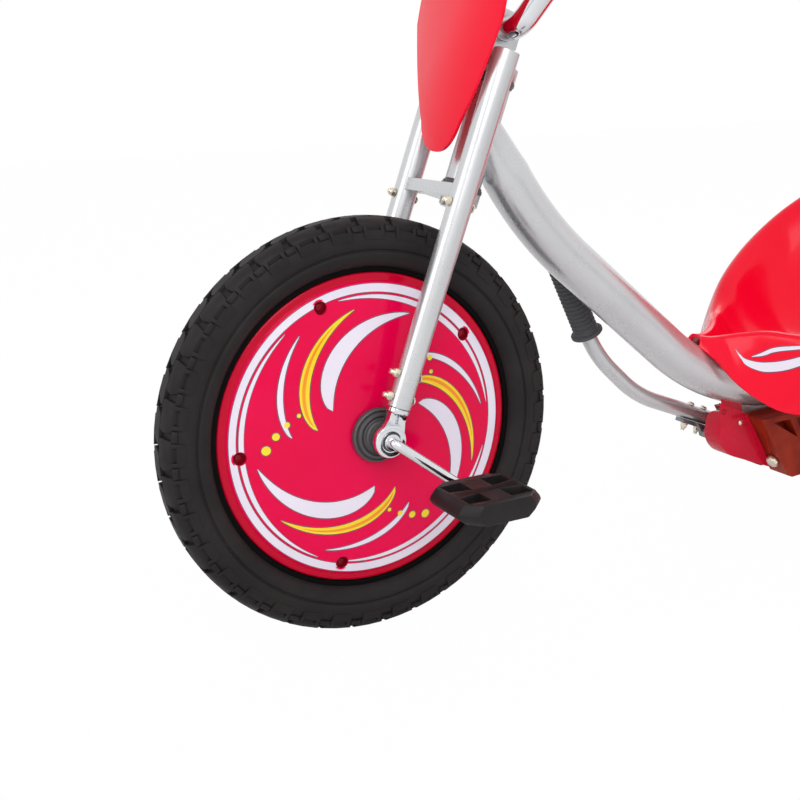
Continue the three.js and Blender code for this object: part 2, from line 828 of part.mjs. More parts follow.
// The front plate: a rounded V at its foot that widens to a shield, on two bosses
function frontPlate() {
  const lean = radians(plateLean);
  const narrow = plateHeight * 0.14;
  const shoulder = plateHeight * 0.62;
  const shape = new THREE.Shape();
  shape.moveTo(0, 0);
  shape.quadraticCurveTo(plateNarrowHalfWidth * 0.45, 0, plateNarrowHalfWidth * 0.62, narrow);
  shape.quadraticCurveTo(plateNarrowHalfWidth, shoulder * 0.5, plateHalfWidth, shoulder);
  shape.quadraticCurveTo(plateHalfWidth * 1.02, plateHeight * 0.92, plateHalfWidth * 0.8, plateHeight * 0.97);
  shape.quadraticCurveTo(0, plateHeight + plateTopCurve, -plateHalfWidth * 0.8, plateHeight * 0.97);
  shape.quadraticCurveTo(-plateHalfWidth * 1.02, plateHeight * 0.92, -plateHalfWidth, shoulder);
  shape.quadraticCurveTo(-plateNarrowHalfWidth, shoulder * 0.5, -plateNarrowHalfWidth * 0.62, narrow);
  shape.quadraticCurveTo(-plateNarrowHalfWidth * 0.45, 0, 0, 0);
  const options = { depth: plateThickness, bevelEnabled: false, curveSegments: 4, steps: 1 };
  const plate = new THREE.ExtrudeGeometry(shape, options);
  plate.rotateX(Math.PI / 2).rotateZ(Math.PI / 2);
  plate.rotateY(lean).translate(plateAhead, 0, plateTip);
  const bosses = [];
  for (const height of [barHeight, braceHeight]) {
    const ahead = plateAhead + Math.tan(lean) * (height - plateTip) + plateThickness / 2;
    bosses.push(barX(plateBossRadius, 0, ahead, 12).translate(0, 0, height));
  }
  const bar = barY(barRadius + gap, -barFlat, barFlat).translate(0, 0, barHeight);
  const upper = barY(braceRadius + gap, -barFlat, barFlat).translate(0, 0, braceHeight);
  return cut(join(plate, ...bosses), bar, upper);
}

function steering() {
  const fork = new THREE.Group();
  fork.add(named('lower_crown', crown(lowerCrownHeight), 'satinSilver'));
  fork.add(named('upper_crown', crown(upperCrownHeight), 'satinSilver'));
  fork.add(named('steerer_tube', steerer(), 'satinSilver'));
  fork.add(named('headset_locknut', locknut(), 'chrome'));
  fork.add(named('handlebar', rod(barLine(), barRadius, 12), 'chrome'));
  fork.add(named('handlebar_brace', brace(), 'chrome'));
  fork.add(named('number_plate', frontPlate(), 'seatRed'));
  for (const [side, sign] of sides) {
    const y = (sign * legSpacing) / 2;
    const turn = sign > 0 ? 0 : Math.PI;
    const leg = named(`fork_leg_${side}`, forkLeg(), 'satinSilver');
    const foot = named(`dropout_${side}`, dropout(), 'chrome');
    const bush = named(`dropout_bush_${side}`, dropoutBush(), 'blackPlastic');
    for (const piece of [leg, foot, bush]) {
      piece.position.y = y;
      piece.rotation.z = turn;
      fork.add(piece);
    }
    footBoltHeights.forEach((height, i) => {
      const fastener = foreAftBolt(legRadiusAt(height), boltTail);
      const bolt = named(`dropout_bolt_${side}_${['lower', 'upper'][i]}`, fastener, 'zinc');
      bolt.position.set(0, y, height);
      fork.add(bolt);
    });
    const crownBolt = named(`crown_bolt_${side}`, foreAftBolt(legRadiusAt(crownBoltHeight), crownBoltTail), 'zinc');
    crownBolt.position.set(0, y, crownBoltHeight);
    fork.add(crownBolt);
    const stand = named(`handlebar_clamp_${side}`, riser(), 'satinSilver');
    const standBolt = named(`clamp_bolt_${side}`, riserBolt(), 'zinc');
    for (const piece of [stand, standBolt]) {
      piece.position.y = (sign * riserSpacing) / 2;
      fork.add(piece);
    }
    const rise = barHeight + barRise;
    const end = new THREE.Vector3(-barSweep, sign * barHalfSpan, rise + barUpsweep);
    const back = new THREE.Vector3(0, sign * barRiseWidth, rise);
    const rubber = grip(gripRadius, gripFlangeRadius, gripLength, barRadius + gap);
    fork.add(placedGrip(`grip_${side}`, rubber, end, back, gripLength));
  }
  return leaned(fork);
}

function leaned(group) {
  group.position.z = tyreRadius;
  group.rotation.y = -radians(forkLean);
  return group;
}

function headset() {
  const lower = lowerCrownHeight + crownThickness / 2 + gap;
  const upper = upperCrownHeight - crownThickness / 2 - gap;
  const group = new THREE.Group();
  group.add(named('head_tube', headTube(), 'satinSilver'));
  group.add(named('headset_cup_lower', headsetCup(lower, headTubeStart - gap), 'blackPlastic'));
  group.add(named('headset_cup_upper', headsetCup(headTubeEnd + gap, upper), 'blackPlastic'));
  return leaned(group);
}

// A place on the steering axis, as x and z
function onSteeringAxis(height) {
  const lean = radians(forkLean);
  const x = -Math.sin(lean) * height - Math.cos(lean) * steerOffset;
  const z = tyreRadius + Math.cos(lean) * height - Math.sin(lean) * steerOffset;
  return [x, z];
}

// Main tube: from the head tube down through two bends to a level run under the seat
function mainLine() {
  const corners = [
    onSteeringAxis(mainTubeStart), mainTubeKnee, [mainTubeLevelStart, mainTubeLevel], [mainTubeEnd, mainTubeLevel],
  ];
  return new RodLine(corners.map((corner) => sidePoint(corner)), [kneeBend, floorBend], 7);
}

function mainTubeSolid(radius) {
  return rod(mainLine(), radius, 16);
}

function mainTube() {
  const tube = rod(mainLine(), mainTubeRadius, 16, mainTubeRadius - mainTubeWall);
  const cupRoom = cupHeight + 2 * gap;
  const copes = [
    barZ(headTubeRadius + gap, headTubeStart - overrun, headTubeEnd + overrun, 24),
    barZ(cupRadius + gap, headTubeStart - cupRoom, headTubeStart, 24),
    barZ(cupRadius + gap, headTubeEnd, headTubeEnd + cupRoom, 24),
  ];
  for (const cope of copes) {
    cope.translate(-steerOffset, 0, 0).rotateY(-radians(forkLean)).translate(0, 0, tyreRadius);
  }
  const bores = seatBoltPlaces().map((x) => seatBoltBore().translate(x, 0, 0));
  return cut(tube, ...copes, ...bores);
}

function tubePlug() {
  const inner = mainTubeRadius - mainTubeWall - gap;
  const outline = [
    [0, gap + tubePlugFlange], [mainTubeRadius * 0.9, gap + tubePlugFlange], [mainTubeRadius, gap + tubePlugFlange / 2],
    [mainTubeRadius, gap], [inner, gap], [inner, -tubePlugDepth], [0, -tubePlugDepth],
  ];
  return facingOut(turned(outline, 16)).rotateZ(Math.PI / 2).translate(mainTubeEnd, 0, mainTubeLevel);
}

// Seat: a moulded shell between three guide lines, the bowl floor, the rim and the lower lip
function seatGuide(shares) {
  const points = shares.map(([along, out, up]) => new THREE.Vector3(
    seatFront - along * seatLength, out * seatHalfWidth, seatBase + up * seatRise,
  ));
  return new THREE.CatmullRomCurve3(points, false, 'chordal');
}

const seatRows = 24;
const bowlSteps = 6;
const skirtSteps = 4;
const bowlPower = 2.4;

function seatGrid() {
  const centre = seatGuide(seatCentreShares);
  const rim = seatGuide(seatRimShares);
  const lip = seatGuide(seatLipShares);
  const rows = [];
  for (let i = 0; i <= seatRows; i += 1) {
    const along = i / seatRows;
    const [c, r, l] = [centre, rim, lip].map((guide) => guide.getPoint(along));
    const half = [];
    for (let k = 0; k <= bowlSteps; k += 1) {
      const out = k / bowlSteps;
      const lift = out ** bowlPower;
      half.push(new THREE.Vector3(c.x + (r.x - c.x) * lift, r.y * out, c.z + (r.z - c.z) * lift));
    }
    for (let k = 1; k <= skirtSteps; k += 1) {
      const down = k / skirtSteps;
      const point = r.clone().lerp(l, down);
      point.y += (seatRoll * r.y * Math.sin(Math.PI * down)) / seatHalfWidth;
      half.push(point);
    }
    const mirrored = half.slice(1).reverse().map((point) => new THREE.Vector3(point.x, -point.y, point.z));
    rows.push([...mirrored, ...half]);
  }
  return rows;
}

// A closed shell: the grid, the same grid set back by the wall, and their edges joined
function shellFromGrid(rows, wall) {
  const last = { i: rows.length - 1, k: rows[0].length - 1 };
  const count = rows[0].length;
  const back = rows.map((row, i) => row.map((point, k) => {
    const along = rows[Math.min(i + 1, last.i)][k].clone().sub(rows[Math.max(i - 1, 0)][k]);
    const across = row[Math.min(k + 1, last.k)].clone().sub(row[Math.max(k - 1, 0)]);
    return point.clone().addScaledVector(along.cross(across).normalize(), -wall);
  }));
  const points = [...rows.flat(), ...back.flat()];
  const offset = rows.length * count;
  const faces = [];
  const quad = (a, b, c, d) => faces.push(a, b, c, a, c, d);
  const at = (i, k) => i * count + k;
  for (let i = 0; i < last.i; i += 1) {
    for (let k = 0; k < last.k; k += 1) {
      quad(at(i, k), at(i + 1, k), at(i + 1, k + 1), at(i, k + 1));
      quad(offset + at(i, k), offset + at(i, k + 1), offset + at(i + 1, k + 1), offset + at(i + 1, k));
    }
    quad(at(i, 0), offset + at(i, 0), offset + at(i + 1, 0), at(i + 1, 0));
    quad(at(i, last.k), at(i + 1, last.k), offset + at(i + 1, last.k), offset + at(i, last.k));
  }
  for (let k = 0; k < last.k; k += 1) {
    quad(at(0, k), at(0, k + 1), offset + at(0, k + 1), offset + at(0, k));
    quad(at(last.i, k), offset + at(last.i, k), offset + at(last.i, k + 1), at(last.i, k + 1));
  }
  const geometry = new THREE.BufferGeometry();
  geometry.setAttribute('position', new THREE.BufferAttribute(new Float32Array(points.flatMap((p) => p.toArray())), 3));
  geometry.setIndex(new THREE.BufferAttribute(new Uint32Array(faces), 1));
  return facingOut(geometry);
}

function seatSolid() {
  return shellFromGrid(seatGrid(), seatWall);
}

function seatBoltPlaces() {
  return [-1, 1].map((sign) => seatMountCentre + (sign * seatBoltSpacing) / 2);
}

function seatBoltBore() {
  const from = mainTubeLevel + mainTubeRadius - overrun;
  return barZ(seatBoltRadius + gap, from, seatFloorHeight + overrun, boltSides);
}

function seatShell() {
  const head = barZ(seatBoltHeadRadius + gap, seatFloorHeight, seatFloorHeight + overrun, 12);
  const tools = seatBoltPlaces().flatMap((x) => [seatBoltBore().translate(x, 0, 0), head.clone().translate(x, 0, 0)]);
  return cut(seatSolid(), ...tools, mainTubeSolid(mainTubeRadius + gap));
}

function seatMount() {
  const low = mainTubeLevel + mainTubeRadius / 2;
  const from = seatMountCentre - seatMountLength / 2;
  const half = seatMountWidth / 2;
  const body = block([from, -half, low], [from + seatMountLength, half, seatFloorHeight - seatWall / 4]);
  const bores = seatBoltPlaces().map((x) => seatBoltBore().translate(x, 0, 0));
  return cut(body, mainTubeSolid(mainTubeRadius + gap), seatSolid().translate(0, 0, -gap), ...bores);
}

function seatBolt() {
  const top = seatFloorHeight + gap;
  const foot = top - seatWall - seatBoltDepth;
  const outline = [
    [0, foot], [seatBoltRadius, foot], [seatBoltRadius, top], [seatBoltHeadRadius, top],
    [seatBoltHeadRadius * 0.8, top + boltHeadHeight * 0.7], [0, top + boltHeadHeight],
  ];
  return facingOut(turned(outline, 12)).rotateX(Math.PI / 2);
}

// Rear bracket: a folded channel under the tube that closes round the spark pivot
function rearBracket() {
  const nose = arcPoints(bracketNoseCentre, bracketNoseRadius, ...bracketNoseArc, 8);
  const outline = [bracketEar, ...nose, bracketFoot, matingTop];
  const body = sidePlate(outline, -bracketHalfWidth, bracketHalfWidth);
  const inside = bracketHalfWidth - bracketWall;
  const innerNose = arcPoints(bracketNoseCentre, bracketNoseRadius - bracketWall, ...bracketNoseArc, 8);
  const drop = bracketNoseRadius;
  const roof = [matingTop[0] - drop, matingTop[1] - 1.5 * bracketWall];
  const below = [bracketFoot[0] - drop, bracketFoot[1] - drop];
  const mouth = [innerNose.at(-1)[0], innerNose.at(-1)[1] - drop];
  const roofFront = [innerNose[0][0], roof[1]];
  const pocket = sidePlate([roofFront, ...innerNose, mouth, below, roof], -inside, inside);
  const bore = barY(pivotRadius + gap, -bracketHalfWidth - overrun, bracketHalfWidth - bracketWall / 2, boreSides);
  bore.translate(pivotPlace[0], 0, pivotPlace[1]);
  const foot = bracketEar[1] - bracketWall;
  const front = bracketEar[0] - bracketWall;
  const saddleOutline = [
    [front, foot], [front, bracketEar[1] + saddleRise], [matingTop[0], matingTop[1] + saddleRise],
    [matingTop[0], matingTop[1] - bracketWall],
  ];
  const saddle = sidePlate(saddleOutline, -inside, inside);
  const reach = bracketHalfWidth + bracketFlange;
  const flangeOutline = [
    onMating(bracketWall, 0), onMating(bracketWall, -bracketWall),
    onMating(bracketFlangeLength, -bracketWall), onMating(bracketFlangeLength, 0),
  ];
  const flange = sidePlate(flangeOutline, -reach, reach);
  return cut(join(body, saddle, flange), pocket, bore, mainTubeSolid(mainTubeRadius + gap));
}

// Spark lever: a bent tube with a grip, bolted to a tongue on the pivot bar
function leverLine() {
  const corners = [leverEnd, leverHeel, leverElbow, leverTop];
  return new RodLine(corners.map((corner) => sidePoint(corner, -leverOffset)), leverBend, 4);
}

function leverSlope() {
  return Math.atan2(leverHeel[1] - leverEnd[1], leverHeel[0] - leverEnd[0]);
}

// A place along the lever's lower run and above its centre line, as x and z
function onLever(along, above) {
  const slope = leverSlope();
  const x = leverEnd[0] + along * Math.cos(slope) - above * Math.sin(slope);
  const z = leverEnd[1] + along * Math.sin(slope) + above * Math.cos(slope);
  return [x, z];
}

function leverBoltPlaces() {
  return [0, 1].map((i) => leverBoltInset + i * leverBoltSpacing);
}

function leverBores() {
  const reach = leverRadius + sparkArmWidth;
  return leverBoltPlaces().map((along) => {
    const [x, z] = onLever(along, 0);
    return barZ(boltRadius + gap, -reach, reach, boltSides).rotateY(-leverSlope()).translate(x, -leverOffset, z);
  });
}

function sparkLever() {
  return cut(rod(leverLine(), leverRadius, 10, leverRadius - leverWall), ...leverBores());
}

function leverBolt(along) {
  const thick = sparkArmThickness * 0.6;
  const nut = -leverRadius - gap - thick - gap;
  const outline = [
    [0, nut - boltNutHeight - leverBoltTail], [boltRadius, nut - boltNutHeight - leverBoltTail],
    [boltRadius, nut - boltNutHeight], [boltHeadRadius, nut - boltNutHeight], [boltHeadRadius, nut], [boltRadius, nut],
    [boltRadius, leverRadius + gap], [boltHeadRadius, leverRadius + gap],
    [boltHeadRadius, leverRadius + gap + boltHeadHeight], [0, leverRadius + gap + boltHeadHeight],
  ];
  const [x, z] = onLever(along, 0);
  const bolt = facingOut(turned(outline, boltSides)).rotateX(Math.PI / 2).rotateY(-leverSlope());
  return bolt.translate(x, -leverOffset, z);
}

// A flat bar that follows points in the side plane
function barOutline(points, width) {
  const upper = [];
  const lower = [];
  points.forEach((point, i) => {
    const before = points[Math.max(i - 1, 0)];
    const after = points[Math.min(i + 1, points.length - 1)];
    const angle = Math.atan2(after[1] - before[1], after[0] - before[0]);
    const side = [(-Math.sin(angle) * width) / 2, (Math.cos(angle) * width) / 2];
    upper.push([point[0] + side[0], point[1] + side[1]]);
    lower.unshift([point[0] - side[0], point[1] - side[1]]);
  });
  return [...upper, ...lower];
}

// Pivot bar, tongue under the lever and the arm that carries the spark pad
function sparkArm() {
  const thick = sparkArmThickness * 0.6;
  const half = sparkArmWidth / 2;
  const pivot = barY(pivotRadius, -pivotEnd, bracketHalfWidth - bracketWall / 2 - gap, boreSides);
  pivot.translate(pivotPlace[0], 0, pivotPlace[1]);
  const start = boltHeadRadius / 2;
  const reach = leverBoltInset + leverBoltSpacing + boltHeadRadius * 2;
  const under = -leverRadius - gap;
  const tongueOutline = [
    onLever(start, under), onLever(reach, under), onLever(reach, under - thick), onLever(start, under - thick),
  ];
  const tongue = sidePlate(tongueOutline, -leverOffset - half * 0.8, -leverOffset + half * 0.8);
  const rootOutline = [
    onLever(start, under), onLever(leverBoltInset * 2, under), [pivotPlace[0] + pivotRadius * 0.9, pivotPlace[1]],
    [pivotPlace[0] - pivotRadius * 0.9, pivotPlace[1]],
  ];
  const root = sidePlate(rootOutline, -pivotEnd, -pivotEnd + pivotRootThickness);
  const heelEnd = [sparkArmHeel[0] - sparkPadLength / 3, sparkArmHeel[1]];
  const armLine = [pivotPlace, sparkArmKnee, sparkArmRear, sparkArmHeel, heelEnd];
  const armOutline = barOutline(armLine, sparkArmThickness);
  const arm = sidePlate(armOutline, -half, half);
  return cut(join(pivot, tongue, root, arm), ...leverBores());
}

function sparkPad() {
  const top = sparkArmHeel[1] - sparkArmThickness / 2 - gap;
  const from = sparkArmHeel[0] - sparkPadLength / 2;
  const chamfer = sparkPadHeight / 2;
  const outline = [
    [from, top], [from, top - chamfer], [from + chamfer, top - sparkPadHeight],
    [from + sparkPadLength - chamfer, top - sparkPadHeight], [from + sparkPadLength, top - chamfer],
    [from + sparkPadLength, top],
  ];
  const arm = barOutline([sparkArmRear, sparkArmHeel, [from, sparkArmHeel[1]]], sparkArmThickness + 2 * gap);
  const half = sparkArmWidth / 2 + gap;
  return cut(sidePlate(outline, -sparkPadWidth / 2, sparkPadWidth / 2), sidePlate(arm, -half, half));
}

// Casters: each turns on an axis that leans forward at its top
function casterPivot() {
  const lean = radians(casterLean);
  const x = casterWheelPlace + casterDrop * Math.sin(lean) + casterTrail * Math.cos(lean);
  const z = casterWheelRadius + casterDrop * Math.cos(lean) - casterTrail * Math.sin(lean);
  return [x, z];
}

function housing(radius, extra) {
  const [x, z] = casterPivot();
  const half = housingLength / 2 + extra;
  return (sign) => {
    const bar = barZ(radius, -half, half, boreSides).rotateY(radians(casterLean));
    return bar.translate(x, (sign * casterSpacing) / 2, z);
  };
}

function matingDirection() {
  const run = [bracketFoot[0] - matingTop[0], bracketFoot[1] - matingTop[1]];
  const length = Math.hypot(...run);
  return run.map((value) => value / length);
}

// A place down the mating plane and behind it, as x and z
function onMating(down, behind) {
  const [dx, dz] = matingDirection();
  return [matingTop[0] + dx * down + dz * behind, matingTop[1] + dz * down - dx * behind];
}

// A shape on the Z axis, moved to a truck bolt with its head facing forward
function atTruckBolt(geometry, sign) {
  const [dx, dz] = matingDirection();
  const [x, z] = onMating(truckBoltDrop, 0);
  geometry.rotateY(Math.atan2(-dz, dx));
  return geometry.translate(x, sign * truckBoltOffset, z);
}

function truck() {
  const [pivotX] = casterPivot();
  const outline = [
    onMating(truckRib, 2 * gap), onMating(truckFrontLength, 2 * gap),
    [truckFootFront, truckFloor], [truckTail, truckFloor + truckRib], [truckTail - truckRib, truckTailTop],
    [truckShoulder, truckTop], [matingTop[0] - truckPocketDepth, truckTop],
  ];
  const body = sidePlate(outline, -truckHalfWidth, truckHalfWidth);
  const reach = casterSpacing / 2;
  const wings = [];
  const pockets = [];
  for (const sign of [-1, 1]) {
    const side = (points) => (sign > 0 ? points : points.reverse()).map(([x, y]) => [x, sign * y]);
    const wing = [
      [wingFront, truckHalfWidth - overrun], [truckTail, truckHalfWidth - overrun],
      [pivotX - housingRadius * 0.9, reach], [pivotX, reach + housingRadius * 0.9], [pivotX + housingRadius, reach],
    ];
    wings.push(flatPlate(side(wing.reverse()), wingFloor, wingTop));
    const root = truckHalfWidth + truckRib;
    const well = [
      [wingFront - truckPocketDepth * 1.3, root], [pivotX + housingRadius * 1.5, reach - truckPocketDepth * 1.1],
      [pivotX + housingRadius * 1.3, root],
    ];
    const floor = wingFloor + wingWall;
    pockets.push(flatPlate(side(well), floor, wingTop + overrun));
    const face = sign * truckHalfWidth;
    const inner = face - sign * truckPocketDepth;
    const span = [Math.min(inner, face + sign * overrun), Math.max(inner, face + sign * overrun)];
    const rib = truckRib;
    const lip = matingTop[0] - truckPocketDepth;
    const bays = [
      [[lip - rib, truckTop - rib], [lip - 2 * truckPocketDepth, truckTop - rib],
        [truckFootFront - rib, truckTop - 5 * rib]],
      [[lip - 2.6 * truckPocketDepth, truckTop - rib], [truckShoulder, truckTop - rib],
        [wingFront - rib, wingTop + rib], [truckFootFront - 2 * rib, wingTop + rib]],
    ];
    for (const bay of bays) {
      pockets.push(sidePlate(bay, ...span));
    }
  }
  const barrels = [-1, 1].map(housing(housingRadius, 0));
  const bores = [-1, 1].map(housing(casterStemRadius + gap, overrun));
  const ends = [-1, 1].flatMap((sign) => housingEnds(sign));
  const boltBores = [-1, 1].map((sign) => atTruckBolt(
    barZ(truckBoltRadius + gap, -truckBoltDepth - gap, overrun * 2, boltSides), sign,
  ));
  const slotOutline = [
    [bracketFoot[0] + truckSlotHalfWidth, 0], [truckTail - overrun, 0], [truckTail - overrun, truckSlotTop - truckRib],
    [sparkArmRear[0], truckSlotTop - truckRib], [sparkArmKnee[0], truckSlotTop],
    [bracketFoot[0] + truckBoltDepth, truckSlotTop],
  ];
  const slot = sidePlate(slotOutline, -truckSlotHalfWidth, truckSlotHalfWidth);
  const whole = join(body, ...wings, ...barrels);
  return cut(whole, ...ends, ...bores, ...pockets, ...boltBores, slot, mainTubeSolid(mainTubeRadius + gap));
}

// Clears the wing above and below a housing so that the caster can turn there
function housingEnds(sign) {
  const [x, z] = casterPivot();
  const half = housingLength / 2;
  const reach = yokePlateRadius + overrun;
  const depth = housingLength;
  const bars = [barZ(reach, -half - depth, -half, boreSides), barZ(housingRadius, half, half + depth, boreSides)];
  return bars.map((bar) => bar.rotateY(radians(casterLean)).translate(x, (sign * casterSpacing) / 2, z));
}

function truckBolt(sign) {
  const outline = [
    [0, -truckBoltDepth], [truckBoltRadius, -truckBoltDepth], [truckBoltRadius, gap], [truckBoltHeadRadius, gap],
    [truckBoltHeadRadius, truckBoltHead * 0.7], [truckBoltHeadRadius * 0.85, truckBoltHead], [0, truckBoltHead],
  ];
  return atTruckBolt(facingOut(turned(outline, boltSides)).rotateX(Math.PI / 2), sign);
}

function casterYoke() {
  const plateTop = -housingLength / 2 - gap;
  const plateFoot = plateTop - yokePlate;
  const top = housingLength / 2 + gap;
  const plate = barZ(yokePlateRadius, plateFoot, plateTop, boreSides);
  const stem = barZ(casterStemRadius, plateTop - yokePlate / 2, top + stemHead / 2, 16);
  const head = barZ(stemHeadRadius, top, top + stemHead, 12);
  const axle = [-casterTrail, -casterDrop];
  const boss = arcPoints(axle, yokeBossRadius, 170, 350, 8);
  const waist = plateFoot + yokePlate / 2;
  const outline = [[yokePlateRadius * 0.6, waist], [-yokePlateRadius * 0.85, waist], ...boss];
  const inner = casterWheelWidth / 2 + casterSideGap;
  const spans = [[-inner - yokeCheek, -inner], [inner, inner + yokeCheek]];
  const cheeks = spans.map(([from, to]) => sidePlate(outline, from, to));
  const reach = inner + yokeCheek + overrun;
  const bore = barY(casterAxleRadius + gap, -reach, reach, 16).translate(axle[0], 0, axle[1]);
  return cut(join(plate, stem, head, ...cheeks), bore);
}

function casterHub() {
  const half = casterWheelWidth / 2;
  const bore = casterAxleRadius + gap;
  const dish = half * 0.55;
  const right = [
    [bore, half], [casterAxleHeadRadius, half], [casterAxleHeadRadius + casterAxleHead, dish],
    [casterHubRadius - casterAxleHead / 2, dish], [casterHubRadius, half * 0.85],
  ];
  const left = right.map(([radius, along]) => [radius, -along]).reverse();
  return facingOut(turnedRing([...right, ...left], 20));
}

function casterTyre() {
  const half = casterWheelWidth / 2;
  const inner = casterHubRadius + gap;
  const crown = casterWheelRadius;
  const right = [
    [inner, half * 0.85], [inner + casterAxleHead, half], [crown * 0.9, half * 0.9], [crown * 0.985, half * 0.6],
  ];
  const left = right.map(([radius, along]) => [radius, -along]).reverse();
  const flat = [[crown, half * 0.3], [crown, -half * 0.3]];
  return facingOut(turnedRing([...right, ...flat, ...left], 24));
}

function casterAxle() {
  const face = casterWheelWidth / 2 + casterSideGap + yokeCheek + gap;
  const outline = [
    [0, -face - casterAxleHead], [casterAxleHeadRadius, -face - casterAxleHead], [casterAxleHeadRadius, -face],
    [casterAxleRadius, -face], [casterAxleRadius, face], [casterAxleHeadRadius, face],
    [casterAxleHeadRadius, face + casterAxleHead], [0, face + casterAxleHead],
  ];
  return facingOut(turned(outline, 12));
}

function caster(side, sign) {
  const group = new THREE.Group();
  const [x, z] = casterPivot();
  group.position.set(x, (sign * casterSpacing) / 2, z);
  group.rotation.y = radians(casterLean);
  group.add(named(`caster_yoke_${side}`, casterYoke(), 'satinSilver'));
  const wheel = new THREE.Group();
  wheel.position.set(-casterTrail, 0, -casterDrop);
  wheel.rotation.y = -radians(casterLean);
  wheel.add(named(`caster_hub_${side}`, casterHub(), 'blackPlastic'));
  wheel.add(named(`caster_tyre_${side}`, casterTyre(), 'blackRubber'));
  wheel.add(named(`caster_axle_${side}`, casterAxle(), 'zinc'));
  group.add(wheel);
  return group;
}

function frame() {
  const group = new THREE.Group();
  group.add(named('main_tube', mainTube(), 'satinSilver'));
  group.add(named('tube_plug', tubePlug(), 'blackPlastic'));
  group.add(named('seat_shell', seatShell(), 'seatRed'));
  group.add(named('seat_mount', seatMount(), 'satinSilver'));
  seatBoltPlaces().forEach((x, i) => {
    const bolt = named(`seat_bolt_${['rear', 'front'][i]}`, seatBolt(), 'zinc');
    bolt.position.x = x;
    group.add(bolt);
  });
  group.add(named('rear_bracket', rearBracket(), 'bracketRed'));
  group.add(named('rear_truck', truck(), 'truckRed'));
  for (const [side, sign] of sides) {
    group.add(named(`truck_bolt_${side}`, truckBolt(sign), 'zinc'));
  }
  return group;
}

function sparkGear() {
  const group = new THREE.Group();
  group.add(named('spark_lever', sparkLever(), 'satinSilver'));
  leverBoltPlaces().forEach((along, i) => {
    group.add(named(`lever_bolt_${['rear', 'front'][i]}`, leverBolt(along), 'zinc'));
  });
  group.add(named('spark_arm', sparkArm(), 'sparkGrey'));
  group.add(named('spark_pad', sparkPad(), 'sparkGrey'));
  const rubber = grip(leverGripRadius, leverGripFlangeRadius, leverGripLength, leverRadius + gap);
  const end = sidePoint(leverTop, -leverOffset);
  const back = sidePoint(leverElbow, -leverOffset);
  group.add(placedGrip('lever_grip', rubber, end, back, leverGripLength));
  return group;
}

// The whole trike, moved so that the origin is on the floor under the middle of its box
const driftTrike = new THREE.Group();
driftTrike.add(frontWheel(), steering(), headset(), frame(), sparkGear());
for (const [side, sign] of sides) {
  driftTrike.add(caster(side, sign));
}
driftTrike.updateMatrixWorld(true);
const box = new THREE.Box3().setFromObject(driftTrike, true);
driftTrike.position.x = -(box.min.x + box.max.x) / 2;
driftTrike.updateMatrixWorld(true);

export default driftTrike;
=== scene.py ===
"""Looks of a child's drift trike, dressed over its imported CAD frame.

The classes hold their sizes in millimetres; every mesh is written in metres in the row frame.
"""

import logging
import math
from dataclasses import dataclass, field, replace
from enum import Enum
from typing import Callable, Iterable, Sequence

import bmesh
import bpy
from mathutils import Matrix, Vector


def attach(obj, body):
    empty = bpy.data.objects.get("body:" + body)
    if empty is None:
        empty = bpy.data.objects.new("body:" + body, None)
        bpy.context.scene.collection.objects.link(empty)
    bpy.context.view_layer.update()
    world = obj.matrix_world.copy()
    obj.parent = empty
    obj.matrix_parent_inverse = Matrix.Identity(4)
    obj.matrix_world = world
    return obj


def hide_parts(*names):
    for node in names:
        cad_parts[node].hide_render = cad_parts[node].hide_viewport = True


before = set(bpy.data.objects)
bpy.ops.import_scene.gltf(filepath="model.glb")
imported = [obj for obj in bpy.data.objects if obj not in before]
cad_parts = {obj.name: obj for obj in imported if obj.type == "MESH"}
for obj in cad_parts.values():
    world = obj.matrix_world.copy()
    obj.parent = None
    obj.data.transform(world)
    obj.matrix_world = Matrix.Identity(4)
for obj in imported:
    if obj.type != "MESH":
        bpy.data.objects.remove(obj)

log = logging.getLogger("drift_trike")

MM = 0.001
GAP = 0.3
AXLE_FORWARD = 295.0
AXLE_HEIGHT = 203.0
FORK_LEAN = math.radians(21.2)
DESIGN = Matrix.Translation((AXLE_FORWARD, 0, 0))
WHEEL = Matrix.Translation((AXLE_FORWARD, 0, AXLE_HEIGHT))
FORK = WHEEL @ Matrix.Rotation(-FORK_LEAN, 4, "Y")
WHITE = (1, 1, 1, 1)
UPRIGHT = Matrix.Rotation(math.pi / 2, 4, "X")
SIDES = (("left", 1), ("right", -1))

Pair = tuple[float, float]
Triple = tuple[float, float, float]
Law = Callable[[float], float]
Socket = bpy.types.NodeSocket
Item = bpy.types.Object


class Slot(Enum):
    """The material slots of the CAD record."""

    SILVER = "satin_silver"
    CHROME = "chrome"
    ZINC = "zinc"
    TYRE = "black_rubber"
    GRIP = "grip_rubber"
    BLACK = "black_plastic"
    COVER = "cover_red"
    SEAT = "seat_red"
    BRACKET = "bracket_red"
    TRUCK = "truck_red"
    SPARK = "spark_grey"


def colour(text: str) -> Triple:
    """Turns a screen colour into the linear values that shaders take.

    Args:
        text: Six hexadecimal digits.

    Returns:
        Linear red, green and blue.
    """
    parts = [int(text[i : i + 2], 16) / 255 for i in (0, 2, 4)]
    return tuple(p / 12.92 if p <= 0.04045 else ((p + 0.055) / 1.055) ** 2.4 for p in parts)


# Finishes


def feed(socket: Socket, value: object) -> None:
    """Sets an input, or links it.

    Args:
        socket: The input.
        value: Its value or the output to link.
    """
    if isinstance(value, Socket):
        socket.id_data.links.new(value, socket)
    else:
        socket.default_value = value


